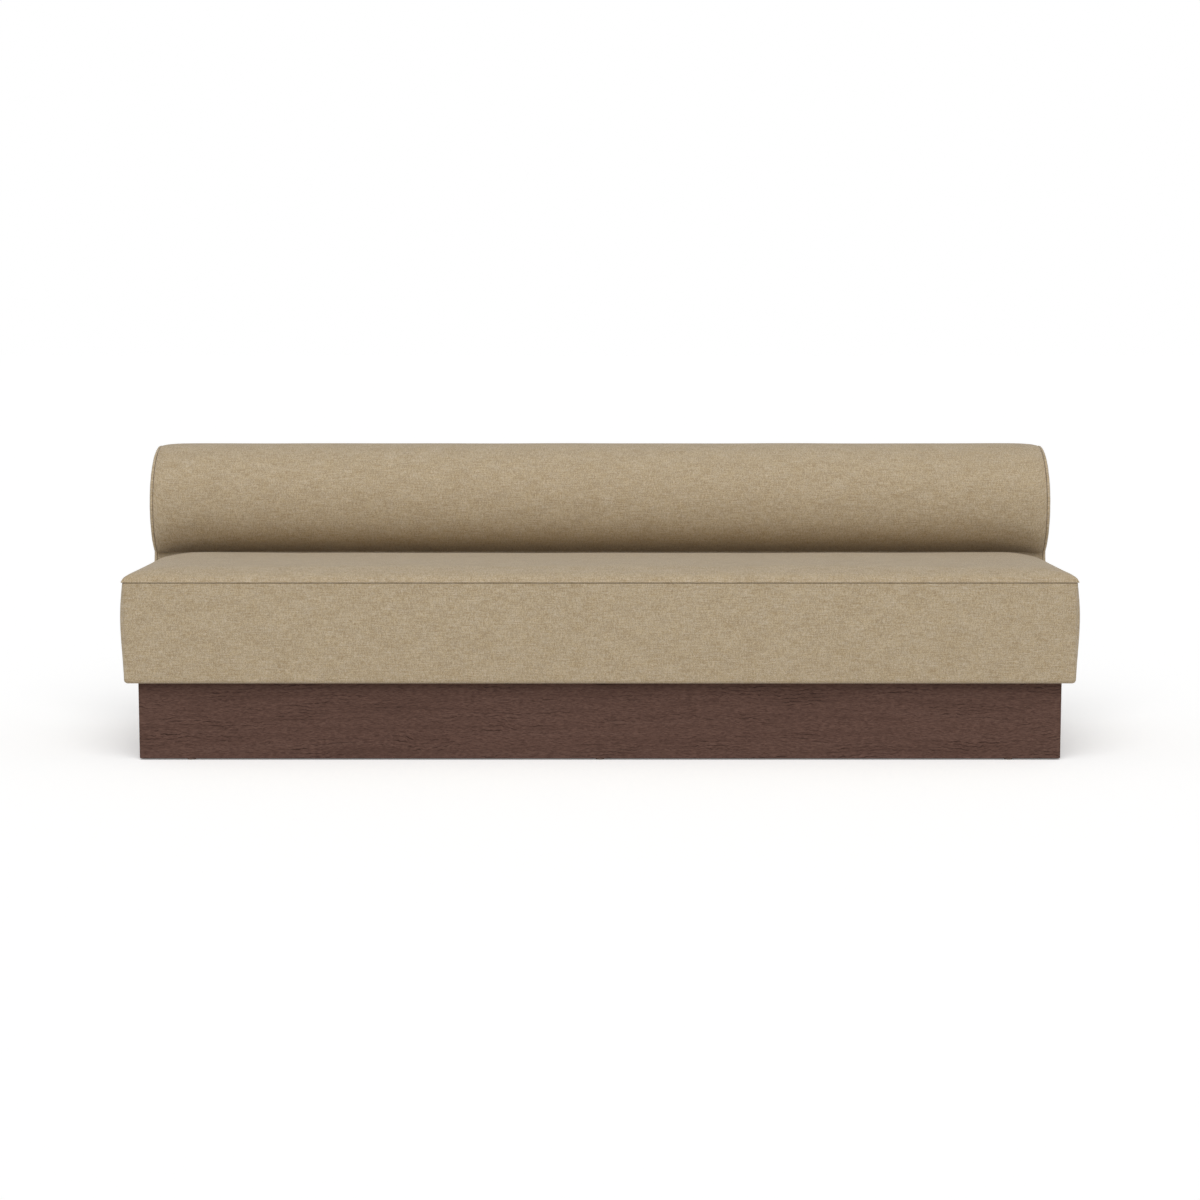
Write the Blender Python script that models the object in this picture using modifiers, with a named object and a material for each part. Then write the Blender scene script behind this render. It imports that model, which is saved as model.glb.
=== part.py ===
"""Dining sofa: a boxed seat with a crowned top and a rolled back, on a recessed oak plinth.

Sizes are in metres. +X runs along the sofa, its front faces -Y, +Z is up and the floor is z = 0.
"""

import math

import bmesh
import bpy
from mathutils import Matrix, Vector

# Fits
FIT_GAP = 0.0003            # between pieces that touch
UNIT_GAP = 0.0020           # between the seat and the back, which are upholstered apart
BOLT_CLEARANCE = 0.0005     # round a bolt in its hole

# Cover and padding
COVER_THICKNESS = 0.0015
RAIL_PAD = 0.0150           # foam on the outer faces of the seat rails
BACK_FOAM = 0.0280
BACK_SKIN = 0.0030          # bent board over the ribs

# Seat
SEAT_WIDTH = 2.2000         # between the end seams
SEAT_DEPTH = 0.4700         # front seam to the rear of the seat
SEAT_UNDERSIDE = 0.1823     # above the floor
SEAT_SEAM_HEIGHT = 0.4163   # the seam round the top, above the floor
SEAT_CROWN = 0.0350         # rise of the top above its seam
SEAT_ROLL = 0.0205          # how soon the top turns over to its seam
CORNER_FULLNESS = 3.0       # how little the top gives way at its corners
FRONT_BULGE = 0.0050
SIDE_BULGE = 0.0110
BULGE_REACH = 0.0180        # how soon the bulge grows away from a corner
SEAT_CORNER_RADIUS = 0.0100
SEAT_BOTTOM_RADIUS = 0.0120
BOXING_TURN_UNDER = 0.0400
BOXING_REAR_RETURN = 0.0450 # round the rear corners

# Seat frame and suspension
RAIL_THICKNESS = 0.0250
SEAT_RAIL_HEIGHT = 0.1150
CROSS_RAIL_DISH = 0.0450    # dip in the middle of a cross rail, clear of the springs
CROSS_RAIL_PLACE = 0.3700   # either side of the middle
SPRING_COUNT = 11
SPRING_WIRE = 0.0038        # diameter
SPRING_LOOP = 0.0480        # width of the loops
SPRING_TURNS = 15           # half loops from rail to rail
SPRING_SWELL = 0.0060       # how far a loop opens past its neck
CLIP_STRIP_WIDTH = 0.0200
CLIP_STRIP_THICKNESS = 0.0020
FELT_THICKNESS = 0.0040
DUST_COVER_THICKNESS = 0.0010

# Back
BACK_DEPTH = 0.2200         # neck to rear
ROLL_RADIUS = 0.1555
ROLL_OVERHANG = 0.0600      # roll in front of its neck
ROLL_RISE = 0.1425          # middle of the roll, above the seat's seam
UNDER_RADIUS = 0.1050       # tighter radius under the front of the roll
UNDER_START = math.radians(20.0)    # how far below the roll's middle that radius starts
END_DRAW = 0.0075           # how far the padding is drawn in at the end seams
END_DRAW_LENGTH = 0.0220
END_BULGE = 0.0120          # swell of the end panels beyond their seams
END_RIM = 0.0020
END_EDGE = 0.0220           # width of the rounded edge of an end panel
COVER_TUCK = 0.0400         # cover tacked down over the front rail
ROLL_STEPS = 20
UNDER_STEPS = 8
REAR_STEPS = 15

# Back frame
RIB_THICKNESS = 0.0180
RIB_COUNT = 5
RIB_HOLE = 0.0900           # diameter of the lightening hole above the spine
BASE_BOARD_THICKNESS = 0.0180
FRONT_RAIL_HEIGHT = 0.1250
SPINE_THICKNESS = 0.0180
SPINE_DROP = 0.0360         # top of the spine below the middle of the roll

# Bolts from the seat frame into the back frame
BOLT_DIAMETER = 0.0080
BOLT_HEAD_DIAMETER = 0.0130
BOLT_HEAD_HEIGHT = 0.0080
BOLT_HEAD_CHAMFER = 0.0006
BOLT_GRIP = 0.0220          # length held in the back
BOLT_SPACING = 0.4400       # between the two middle bolts
BOLT_END_INSET = 0.2800     # outer bolts, in from the ends of the seat

# Plinth
PLINTH_SETBACK = 0.0285     # from the seat's seam line, all round
PLINTH_BOARD = 0.0220
PLINTH_CORNER_RADIUS = 0.0050
PLINTH_ARRIS = 0.0015
CORNER_BLOCK = 0.0450
CORNER_BLOCK_CHAMFER = 0.0250
CORNER_BLOCK_RECESS = 0.0120
BRACE_PLACE = 0.3700
GLIDE_DIAMETER = 0.0200
GLIDE_HEIGHT = 0.0030
GLIDE_CHAMFER = 0.0008
GLIDE_INSET = 0.1200        # end glides, in from the plinth's ends

# Planes that several pieces share
HALF_WIDTH = SEAT_WIDTH / 2
OVERALL_DEPTH = FRONT_BULGE + SEAT_DEPTH + UNIT_GAP + BACK_DEPTH
FRONT_Y = -OVERALL_DEPTH / 2 + FRONT_BULGE
SEAT_REAR_Y = FRONT_Y + SEAT_DEPTH
NECK_Y = SEAT_REAR_Y + UNIT_GAP
REAR_Y = NECK_Y + BACK_DEPTH
ROLL_Y = NECK_Y + ROLL_RADIUS - ROLL_OVERHANG
ROLL_Z = SEAT_SEAM_HEIGHT + ROLL_RISE
UNDER_Y = ROLL_Y - (ROLL_RADIUS - UNDER_RADIUS) * math.cos(UNDER_START)
UNDER_Z = ROLL_Z - (ROLL_RADIUS - UNDER_RADIUS) * math.sin(UNDER_START)
UNDER_COVER = COVER_THICKNESS + FIT_GAP
RAIL_INSET = UNDER_COVER + RAIL_PAD + FIT_GAP
FRAME_BOTTOM = SEAT_UNDERSIDE + UNDER_COVER
RAIL_TOP = FRAME_BOTTOM + SEAT_RAIL_HEIGHT
FOAM_BOTTOM = (
    RAIL_TOP + SPRING_WIRE + CLIP_STRIP_THICKNESS + FELT_THICKNESS + 4 * FIT_GAP
)
SKIN_INSET = UNDER_COVER + BACK_FOAM + FIT_GAP
RIB_INSET = SKIN_INSET + BACK_SKIN + FIT_GAP
BASE_TOP = FRAME_BOTTOM + BASE_BOARD_THICKNESS
RIB_FOOT = BASE_TOP + FIT_GAP
FRONT_RAIL_TOP = RIB_FOOT + FRONT_RAIL_HEIGHT
SPINE_TOP = ROLL_Z - SPINE_DROP
LAP_HEIGHT = (RIB_FOOT + SPINE_TOP) / 2
SEAT_BACK_RAIL_Y = SEAT_REAR_Y - SEAT_BOTTOM_RADIUS - FIT_GAP - RAIL_THICKNESS
BOLT_HEIGHT = (RIB_FOOT + RAIL_TOP) / 2
BOLT_END_X = HALF_WIDTH - BOLT_END_INSET
BOLT_PLACES = (-BOLT_END_X, -BOLT_SPACING / 2, BOLT_SPACING / 2, BOLT_END_X)
PLINTH_X = HALF_WIDTH - PLINTH_SETBACK
PLINTH_FRONT_Y = FRONT_Y + PLINTH_SETBACK
PLINTH_REAR_Y = REAR_Y - PLINTH_SETBACK
PLINTH_BOTTOM = GLIDE_HEIGHT + FIT_GAP
PLINTH_TOP = SEAT_UNDERSIDE - FIT_GAP

# Modelling tolerances
NEAR = 0.0001               # for picking out points and edges by their place
MERGE = 0.00001             # for points that coincide
SMOOTH_ANGLE = math.radians(35.0)


def start_scene():
    """Empty the file, give the parts and the cutters a collection each, and stand an empty on the floor."""
    for item in list(bpy.data.objects):
        bpy.data.objects.remove(item, do_unlink=True)
    parts = bpy.data.collections.new("dining_sofa")
    cutters = bpy.data.collections.new("cutters")
    bpy.context.scene.collection.children.link(parts)
    bpy.context.scene.collection.children.link(cutters)
    stand = bpy.data.objects.new("sofa_stand", None)
    parts.objects.link(stand)
    return parts, cutters, stand


PARTS, CUTTERS, STAND = start_scene()

# Colours are linear; each finish is (colour, roughness, metallic)
FINISHES = {
    "fabric": ((0.418, 0.333, 0.219), 0.95, 0.0),
    "oak": ((0.107, 0.061, 0.048), 0.45, 0.0),
    "pine": ((0.560, 0.400, 0.230), 0.65, 0.0),
    "plywood": ((0.480, 0.350, 0.215), 0.70, 0.0),
    "foam": ((0.780, 0.740, 0.620), 0.95, 0.0),
    "felt": ((0.210, 0.205, 0.200), 1.00, 0.0),
    "dust_cloth": ((0.020, 0.020, 0.021), 0.95, 0.0),
    "steel": ((0.420, 0.420, 0.430), 0.35, 1.0),
    "nylon": ((0.035, 0.033, 0.032), 0.50, 0.0),
}


def finish(name, kind):
    """Make a node's own material from one of the finishes."""
    colour, roughness, metallic = FINISHES[kind]
    material = bpy.data.materials.new(name + "_material")
    material.use_nodes = True
    shader = material.node_tree.nodes["Principled BSDF"]
    shader.inputs["Base Color"].default_value = (*colour, 1.0)
    shader.inputs["Roughness"].default_value = roughness
    shader.inputs["Metallic"].default_value = metallic
    return material


def add_node(name, shape, kind, place=(0.0, 0.0, 0.0), turn=(0.0, 0.0, 0.0)):
    """Turn a bmesh into a named node of the sofa, at its place and turned about X, Y and Z."""
    mesh = bpy.data.meshes.new(name)
    shape.to_mesh(mesh)
    shape.free()
    mesh.shade_smooth()
    mesh.set_sharp_from_angle(angle=SMOOTH_ANGLE)
    mesh.materials.append(finish(name, kind))
    node = bpy.data.objects.new(name, mesh)
    node.parent = STAND
    node.location = place
    node.rotation_euler = turn
    PARTS.objects.link(node)
    return node


def add_cutter(name, shape):
    """Turn a bmesh into a hidden cutter."""
    mesh = bpy.data.meshes.new(name)
    shape.to_mesh(mesh)
    shape.free()
    cutter = bpy.data.objects.new(name, mesh)
    cutter.hide_render = True
    cutter.display_type = "WIRE"
    CUTTERS.objects.link(cutter)
    return cutter


def cut(node, cutter):
    """Cut a node with a cutter."""
    boolean = node.modifiers.new(cutter.name, "BOOLEAN")
    boolean.operation = "DIFFERENCE"
    boolean.solver = "EXACT"
    boolean.object = cutter


def solidify(node, thickness):
    """Give an open surface its thickness, on the inner side."""
    shell = node.modifiers.new("thickness", "SOLIDIFY")
    shell.thickness = thickness
    shell.offset = -1.0
    shell.use_even_offset = True
    shell.use_quality_normals = True


def box(low, high):
    """Box between two corners."""
    low = Vector(low)
    high = Vector(high)
    shape = bmesh.new()
    bmesh.ops.create_cube(shape, size=1.0)
    bmesh.ops.scale(shape, vec=high - low, verts=shape.verts)
    bmesh.ops.translate(shape, vec=(low + high) / 2, verts=shape.verts)
    return shape


def turned(outline, steps):
    """Solid of revolution about Z from (radius, height) points that start and end on the axis."""
    shape = bmesh.new()
    verts = [shape.verts.new((radius, 0.0, height)) for radius, height in outline]
    edges = [shape.edges.new(pair) for pair in zip(verts, verts[1:])]
    bmesh.ops.spin(
        shape,
        geom=verts + edges,
        cent=(0.0, 0.0, 0.0),
        axis=(0.0, 0.0, 1.0),
        angle=math.tau,
        steps=steps,
        use_merge=True,
    )
    bmesh.ops.remove_doubles(shape, verts=shape.verts, dist=MERGE)
    bmesh.ops.recalc_face_normals(shape, faces=shape.faces)
    return shape


def mapped_grid(columns, rows, place):
    """Grid of quads whose corner (i, j) is moved to place(i, j)."""
    shape = bmesh.new()
    bmesh.ops.create_grid(shape, x_segments=columns, y_segments=rows, size=1.0)
    for vert in shape.verts:
        i = round((vert.co.x + 1.0) / 2 * columns)
        j = round((vert.co.y + 1.0) / 2 * rows)
        vert.co = place(i, j)
    return shape


def plate(outline, thickness):
    """Plate of a closed (y, z) outline, with x = 0 in the middle of its thickness."""
    shape = bmesh.new()
    verts = [shape.verts.new((-thickness / 2, y, z)) for y, z in outline]
    loop = [shape.edges.new(pair) for pair in zip(verts, verts[1:] + verts[:1])]
    bmesh.ops.contextual_create(shape, geom=loop)
    grown = bmesh.ops.extrude_face_region(shape, geom=list(shape.faces))
    moved = [item for item in grown["geom"] if isinstance(item, bmesh.types.BMVert)]
    bmesh.ops.translate(shape, vec=(thickness, 0.0, 0.0), verts=moved)
    bmesh.ops.recalc_face_normals(shape, faces=shape.faces)
    return shape


def crowded_places(half, count, crowding):
    """Places from -half to +half, count in each half, that crowd towards both ends."""
    reach = math.exp(crowding) - 1.0
    left = [
        -half + half * (math.exp(crowding * index / (count - 0.5)) - 1.0) / reach
        for index in range(count)
    ]
    return left + [-place for place in reversed(left)]


def ease(distance, reach):
    """Rise from 0 at an edge towards 1 away from it."""
    return 1.0 - math.exp(-max(distance, 0.0) / reach)


# Plinth

def plinth_board(name, outer_length, turn, place):
    """Board with a mitre at both ends; its outer face is y = 0 before it is turned into place."""
    half = outer_length / 2
    shape = box((-half, 0.0, PLINTH_BOTTOM), (half, PLINTH_BOARD, PLINTH_TOP))
    corners = [
        edge for edge in shape.edges
        if all(abs(vert.co.x) > half - NEAR and vert.co.y < NEAR for vert in edge.verts)
        and abs(edge.verts[0].co.z - edge.verts[1].co.z) > NEAR
    ]
    bmesh.ops.bevel(
        shape, geom=corners, offset=PLINTH_CORNER_RADIUS, segments=4, profile=0.5, affect="EDGES"
    )
    rim = [
        edge for edge in shape.edges
        if all(vert.co.y < PLINTH_CORNER_RADIUS + NEAR for vert in edge.verts)
        and abs(edge.verts[0].co.z - edge.verts[1].co.z) < NEAR
        and not all(abs(vert.co.x) > half - NEAR for vert in edge.verts)
    ]
    bmesh.ops.bevel(
        shape, geom=rim, offset=PLINTH_ARRIS, segments=2, profile=0.5, affect="EDGES"
    )
    for side in (-1.0, 1.0):
        bmesh.ops.bisect_plane(
            shape,
            geom=list(shape.verts) + list(shape.edges) + list(shape.faces),
            plane_co=(side * (half - FIT_GAP / math.sqrt(2.0)), 0.0, 0.0),
            plane_no=(side, 1.0, 0.0),
            clear_outer=True,
        )
        open_edges = [edge for edge in shape.edges if edge.is_boundary]
        bmesh.ops.contextual_create(shape, geom=open_edges)
    bmesh.ops.recalc_face_normals(shape, faces=shape.faces)
    return add_node(name, shape, "oak", place, (0.0, 0.0, turn))


def build_plinth():
    """Mitred boards, glue blocks, braces and glides."""
    width = 2 * PLINTH_X
    depth = PLINTH_REAR_Y - PLINTH_FRONT_Y
    middle_y = (PLINTH_FRONT_Y + PLINTH_REAR_Y) / 2
    plinth_board("plinth_front_board", width, 0.0, (0.0, PLINTH_FRONT_Y, 0.0))
    plinth_board("plinth_rear_board", width, math.pi, (0.0, PLINTH_REAR_Y, 0.0))
    plinth_board("plinth_left_board", depth, -math.pi / 2, (-PLINTH_X, middle_y, 0.0))
    plinth_board("plinth_right_board", depth, math.pi / 2, (PLINTH_X, middle_y, 0.0))

    inner_x = PLINTH_X - PLINTH_BOARD - FIT_GAP
    inner_front = PLINTH_FRONT_Y + PLINTH_BOARD + FIT_GAP
    inner_rear = PLINTH_REAR_Y - PLINTH_BOARD - FIT_GAP
    number = 0
    for side in (-1.0, 1.0):
        for corner_y, inward in ((inner_front, 1.0), (inner_rear, -1.0)):
            number += 1
            xs = sorted((side * inner_x, side * (inner_x - CORNER_BLOCK)))
            ys = sorted((corner_y, corner_y + inward * CORNER_BLOCK))
            shape = box(
                (xs[0], ys[0], PLINTH_BOTTOM + CORNER_BLOCK_RECESS),
                (xs[1], ys[1], PLINTH_TOP - CORNER_BLOCK_RECESS),
            )
            free_x = side * (inner_x - CORNER_BLOCK)
            free_y = corner_y + inward * CORNER_BLOCK
            free_edge = [
                edge for edge in shape.edges
                if all(
                    abs(vert.co.x - free_x) < NEAR and abs(vert.co.y - free_y) < NEAR
                    for vert in edge.verts
                )
            ]
            bmesh.ops.bevel(
                shape, geom=free_edge, offset=CORNER_BLOCK_CHAMFER, segments=1, affect="EDGES"
            )
            add_node(f"plinth_corner_block_{number}", shape, "pine")

    for number, place in enumerate((-BRACE_PLACE, BRACE_PLACE), start=1):
        shape = box(
            (place - PLINTH_BOARD / 2, inner_front, PLINTH_BOTTOM + CORNER_BLOCK_RECESS),
            (place + PLINTH_BOARD / 2, inner_rear, PLINTH_TOP),
        )
        add_node(f"plinth_brace_{number}", shape, "plywood")

    radius = GLIDE_DIAMETER / 2
    glide = (
        (0.0, 0.0),
        (radius - GLIDE_CHAMFER, 0.0),
        (radius, GLIDE_CHAMFER),
        (radius, GLIDE_HEIGHT),
        (0.0, GLIDE_HEIGHT),
    )
    glide_x = PLINTH_X - GLIDE_INSET
    number = 0
    for place_y in (PLINTH_FRONT_Y + PLINTH_BOARD / 2, PLINTH_REAR_Y - PLINTH_BOARD / 2):
        for place_x in (-glide_x, 0.0, glide_x):
            number += 1
            add_node(f"floor_glide_{number}", turned(glide, 20), "nylon", (place_x, place_y, 0.0))


# Seat frame and suspension

def sinuous_spring(name, run, place):
    """Flat zigzag spring of round wire that runs from its place on the front rail to the rear rail."""
    curve = bpy.data.curves.new(name, "CURVE")
    curve.dimensions = "3D"
    curve.bevel_depth = SPRING_WIRE / 2
    curve.bevel_resolution = 0
    curve.use_fill_caps = True
    spline = curve.splines.new("POLY")
    steps = 4 * SPRING_TURNS
    spline.points.add(steps)
    for index, point in enumerate(spline.points):
        turn = math.pi * index / 4
        across = SPRING_LOOP / 2 * math.sin(turn)
        along = run * index / steps - SPRING_SWELL * math.sin(2 * turn)
        point.co = (across, along, 0.0, 1.0)
    bent = bpy.data.objects.new(name + "_wire", curve)
    bpy.context.scene.collection.objects.link(bent)
    mesh = bpy.data.meshes.new_from_object(bent.evaluated_get(bpy.context.evaluated_depsgraph_get()))
    bpy.data.objects.remove(bent, do_unlink=True)
    shape = bmesh.new()
    shape.from_mesh(mesh)
    bpy.data.meshes.remove(mesh)
    bmesh.ops.remove_doubles(shape, verts=shape.verts, dist=MERGE)
    bmesh.ops.recalc_face_normals(shape, faces=shape.faces)
    return add_node(name, shape, "steel", place)


def bolt_cutter(name, start_y, end_y):
    """Cylinders for all the bolt holes between two planes."""
    shape = bmesh.new()
    for place in BOLT_PLACES:
        made = bmesh.ops.create_cone(
            shape,
            cap_ends=True,
            segments=16,
            radius1=BOLT_DIAMETER / 2 + BOLT_CLEARANCE,
            radius2=BOLT_DIAMETER / 2 + BOLT_CLEARANCE,
            depth=end_y - start_y,
        )
        bmesh.ops.rotate(
            shape, matrix=Matrix.Rotation(-math.pi / 2, 3, "X"), verts=made["verts"]
        )
        middle = (place, (start_y + end_y) / 2, BOLT_HEIGHT)
        bmesh.ops.translate(shape, vec=middle, verts=made["verts"])
    return add_cutter(name, shape)


def build_seat_frame():
    """Rails, cross rails, springs, clip strips, felt and dust cover."""
    rail_x = HALF_WIDTH - RAIL_INSET
    front = FRONT_Y + RAIL_INSET
    front_inner = front + RAIL_THICKNESS + FIT_GAP
    rear_inner = SEAT_BACK_RAIL_Y - FIT_GAP
    add_node(
        "seat_front_rail",
        box((-rail_x, front, FRAME_BOTTOM), (rail_x, front + RAIL_THICKNESS, RAIL_TOP)),
        "pine",
    )
    rear_rail = add_node(
        "seat_rear_rail",
        box(
            (-rail_x, SEAT_BACK_RAIL_Y, FRAME_BOTTOM),
            (rail_x, SEAT_BACK_RAIL_Y + RAIL_THICKNESS, RAIL_TOP),
        ),
        "pine",
    )
    cut(
        rear_rail,
        bolt_cutter(
            "seat_rail_holes", SEAT_BACK_RAIL_Y - RAIL_THICKNESS, SEAT_BACK_RAIL_Y + 2 * RAIL_THICKNESS
        ),
    )
    add_node(
        "seat_left_rail",
        box((-rail_x, front_inner, FRAME_BOTTOM), (-rail_x + RAIL_THICKNESS, rear_inner, RAIL_TOP)),
        "pine",
    )
    add_node(
        "seat_right_rail",
        box((rail_x - RAIL_THICKNESS, front_inner, FRAME_BOTTOM), (rail_x, rear_inner, RAIL_TOP)),
        "pine",
    )
    for number, place in enumerate((-CROSS_RAIL_PLACE, CROSS_RAIL_PLACE), start=1):
        outline = [(front_inner, FRAME_BOTTOM), (rear_inner, FRAME_BOTTOM)]
        for step in range(17):
            share = step / 16
            dip = CROSS_RAIL_DISH * math.sin(math.pi * share) ** 0.5
            outline.append((rear_inner + (front_inner - rear_inner) * share, RAIL_TOP - dip))
        add_node(
            f"seat_cross_rail_{number}", plate(outline, RAIL_THICKNESS), "pine", (place, 0.0, 0.0)
        )

    spring_start = front + RAIL_THICKNESS / 2
    spring_end = SEAT_BACK_RAIL_Y + RAIL_THICKNESS / 2
    spacing = 2 * (rail_x - RAIL_THICKNESS) / SPRING_COUNT
    wire_height = RAIL_TOP + FIT_GAP + SPRING_WIRE / 2
    for index in range(SPRING_COUNT):
        place = ((index - (SPRING_COUNT - 1) / 2) * spacing, spring_start, wire_height)
        sinuous_spring(f"seat_spring_{index + 1:02d}", spring_end - spring_start, place)

    strip_bottom = RAIL_TOP + SPRING_WIRE + 2 * FIT_GAP
    strip_top = strip_bottom + CLIP_STRIP_THICKNESS
    for name, middle in (("front", spring_start), ("rear", spring_end)):
        shape = box(
            (-rail_x, middle - CLIP_STRIP_WIDTH / 2, strip_bottom),
            (rail_x, middle + CLIP_STRIP_WIDTH / 2, strip_top),
        )
        add_node(f"seat_{name}_clip_strip", shape, "steel")
    add_node(
        "seat_felt",
        box(
            (-rail_x, front, strip_top + FIT_GAP),
            (rail_x, SEAT_BACK_RAIL_Y + RAIL_THICKNESS, strip_top + FIT_GAP + FELT_THICKNESS),
        ),
        "felt",
    )
    sheet_inset = BOXING_TURN_UNDER + 2 * FIT_GAP
    sheet_x = HALF_WIDTH - BOXING_REAR_RETURN - 2 * FIT_GAP
    sheet_top = FRAME_BOTTOM - FIT_GAP
    add_node(
        "dust_cover",
        box(
            (-sheet_x, FRONT_Y + sheet_inset, sheet_top - DUST_COVER_THICKNESS),
            (sheet_x, REAR_Y - sheet_inset, sheet_top),
        ),
        "dust_cloth",
    )


# Seat upholstery

def seat_crown(x, y):
    """Rise of the seat top above its seam, by the distance from its edges, which blend at the corners."""
    edges = (HALF_WIDTH - abs(x), y - FRONT_Y, SEAT_REAR_Y - y)
    if min(edges) <= 0.0:
        return 0.0
    distance = sum(edge ** -CORNER_FULLNESS for edge in edges) ** (-1.0 / CORNER_FULLNESS)
    return SEAT_CROWN * ease(distance, SEAT_ROLL)


def seat_steepness(x, y):
    """Length of the surface normal (-dz/dx, -dz/dy, 1) on the seat top."""
    step = 0.0001
    slope_x = (seat_crown(x + step, y) - seat_crown(x - step, y)) / (2 * step)
    slope_y = (seat_crown(x, y + step) - seat_crown(x, y - step)) / (2 * step)
    return math.sqrt(1.0 + slope_x * slope_x + slope_y * slope_y)


SEAT_XS = crowded_places(HALF_WIDTH, 10, 4.6)
SEAT_MIDDLE_Y = (FRONT_Y + SEAT_REAR_Y) / 2
SEAT_YS = [SEAT_MIDDLE_Y + place for place in crowded_places(SEAT_DEPTH / 2, 8, 2.8)]


def seat_top_point(i, j):
    """Corner of the seat's top panel."""
    x = SEAT_XS[i]
    y = SEAT_YS[j]
    return (x, y, SEAT_SEAM_HEIGHT + seat_crown(x, y))


def rounded_plan(x, y, half_x, half_y, radius):
    """Draw a point of a rectangle in, so that the rectangle's corners become round."""
    over_x = max(abs(x) - half_x + radius, 0.0)
    over_y = max(abs(y) - half_y + radius, 0.0)
    reach = math.hypot(over_x, over_y)
    if reach == 0.0:
        return x, y
    give = 1.0 - max(over_x, over_y) / reach
    return math.copysign(abs(x) - over_x * give, x), math.copysign(abs(y) - over_y * give, y)


def seat_foam_point(i, j):
    """Corner of the foam core's top, under the panel and inside the boxing."""
    x = SEAT_XS[i]
    y = SEAT_YS[j]
    from_corner = HALF_WIDTH - abs(x) + SEAT_DEPTH / 2 - abs(y - SEAT_MIDDLE_Y)
    below = (UNDER_COVER + FIT_GAP) * seat_steepness(x, y)
    below *= 1.0 + math.exp(-from_corner / SEAT_ROLL)
    z = SEAT_SEAM_HEIGHT + seat_crown(x, y) - below
    half_x = HALF_WIDTH - UNDER_COVER
    half_y = SEAT_DEPTH / 2 - UNDER_COVER
    plan_x = x * half_x / HALF_WIDTH
    plan_y = (y - SEAT_MIDDLE_Y) * half_y / (SEAT_DEPTH / 2)
    plan_x, plan_y = rounded_plan(plan_x, plan_y, half_x, half_y, SEAT_CORNER_RADIUS)
    return (plan_x, SEAT_MIDDLE_Y + plan_y, z)


def boxing_path(inset):
    """Plan of the boxing, from its left rear return round the front: (x, y, outward x, outward y, bulge)."""
    radius = max(SEAT_CORNER_RADIUS - inset, 0.0005)
    left = -HALF_WIDTH + inset
    front = FRONT_Y + inset
    rear = SEAT_REAR_Y - inset
    side_run = rear - front - 2 * radius
    front_run = -2 * left - 2 * radius
    path = [(-HALF_WIDTH + BOXING_REAR_RETURN, rear, 0.0, 0.0, 0.0)]

    def corner(centre_x, centre_y, first):
        for step in range(5):
            angle = math.radians(first + 90.0 * step / 4)
            x = centre_x + radius * math.cos(angle)
            y = centre_y + radius * math.sin(angle)
            path.append((x, y, 0.0, 0.0, 0.0))

    corner(left + radius, rear - radius, 90.0)
    for share in (0.98, 0.93, 0.80, 0.50, 0.20, 0.07, 0.02):
        y = front + radius + side_run * share
        bulge = SIDE_BULGE * ease(y - FRONT_Y, BULGE_REACH) * ease(SEAT_REAR_Y - y, BULGE_REACH)
        path.append((left, y, -1.0, 0.0, bulge))
    corner(left + radius, front + radius, 180.0)
    for share in (0.005, 0.016, 0.05, 0.50, 0.95, 0.984, 0.995):
        x = left + radius + front_run * share
        bulge = FRONT_BULGE * ease(HALF_WIDTH - abs(x), BULGE_REACH)
        path.append((x, front, 0.0, -1.0, bulge))
    corner(-left - radius, front + radius, 270.0)
    for share in (0.02, 0.07, 0.20, 0.50, 0.80, 0.93, 0.98):
        y = front + radius + side_run * share
        bulge = SIDE_BULGE * ease(y - FRONT_Y, BULGE_REACH) * ease(SEAT_REAR_Y - y, BULGE_REACH)
        path.append((-left, y, 1.0, 0.0, bulge))
    corner(-left - radius, rear - radius, 0.0)
    path.append((HALF_WIDTH - BOXING_REAR_RETURN, rear, 0.0, 0.0, 0.0))
    return path


def boxing_levels():
    """Section of the boxing from its turned-under edge up to the seam: (inset, height, share of bulge)."""
    face_bottom = SEAT_UNDERSIDE + SEAT_BOTTOM_RADIUS
    face_top = SEAT_SEAM_HEIGHT - UNDER_COVER
    levels = [(BOXING_TURN_UNDER, SEAT_UNDERSIDE, 0.0)]
    for angle in (0.0, 30.0, 60.0, 90.0):
        turn = math.radians(angle)
        inset = SEAT_BOTTOM_RADIUS * (1.0 - math.sin(turn))
        height = SEAT_UNDERSIDE + SEAT_BOTTOM_RADIUS * (1.0 - math.cos(turn))
        levels.append((inset, height, 0.0))
    for share in (0.12, 0.28, 0.50, 0.72, 0.88, 1.0):
        height = face_bottom + (face_top - face_bottom) * share
        levels.append((0.0, height, max(math.sin(math.pi * share), 0.0)))
    return levels


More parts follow.
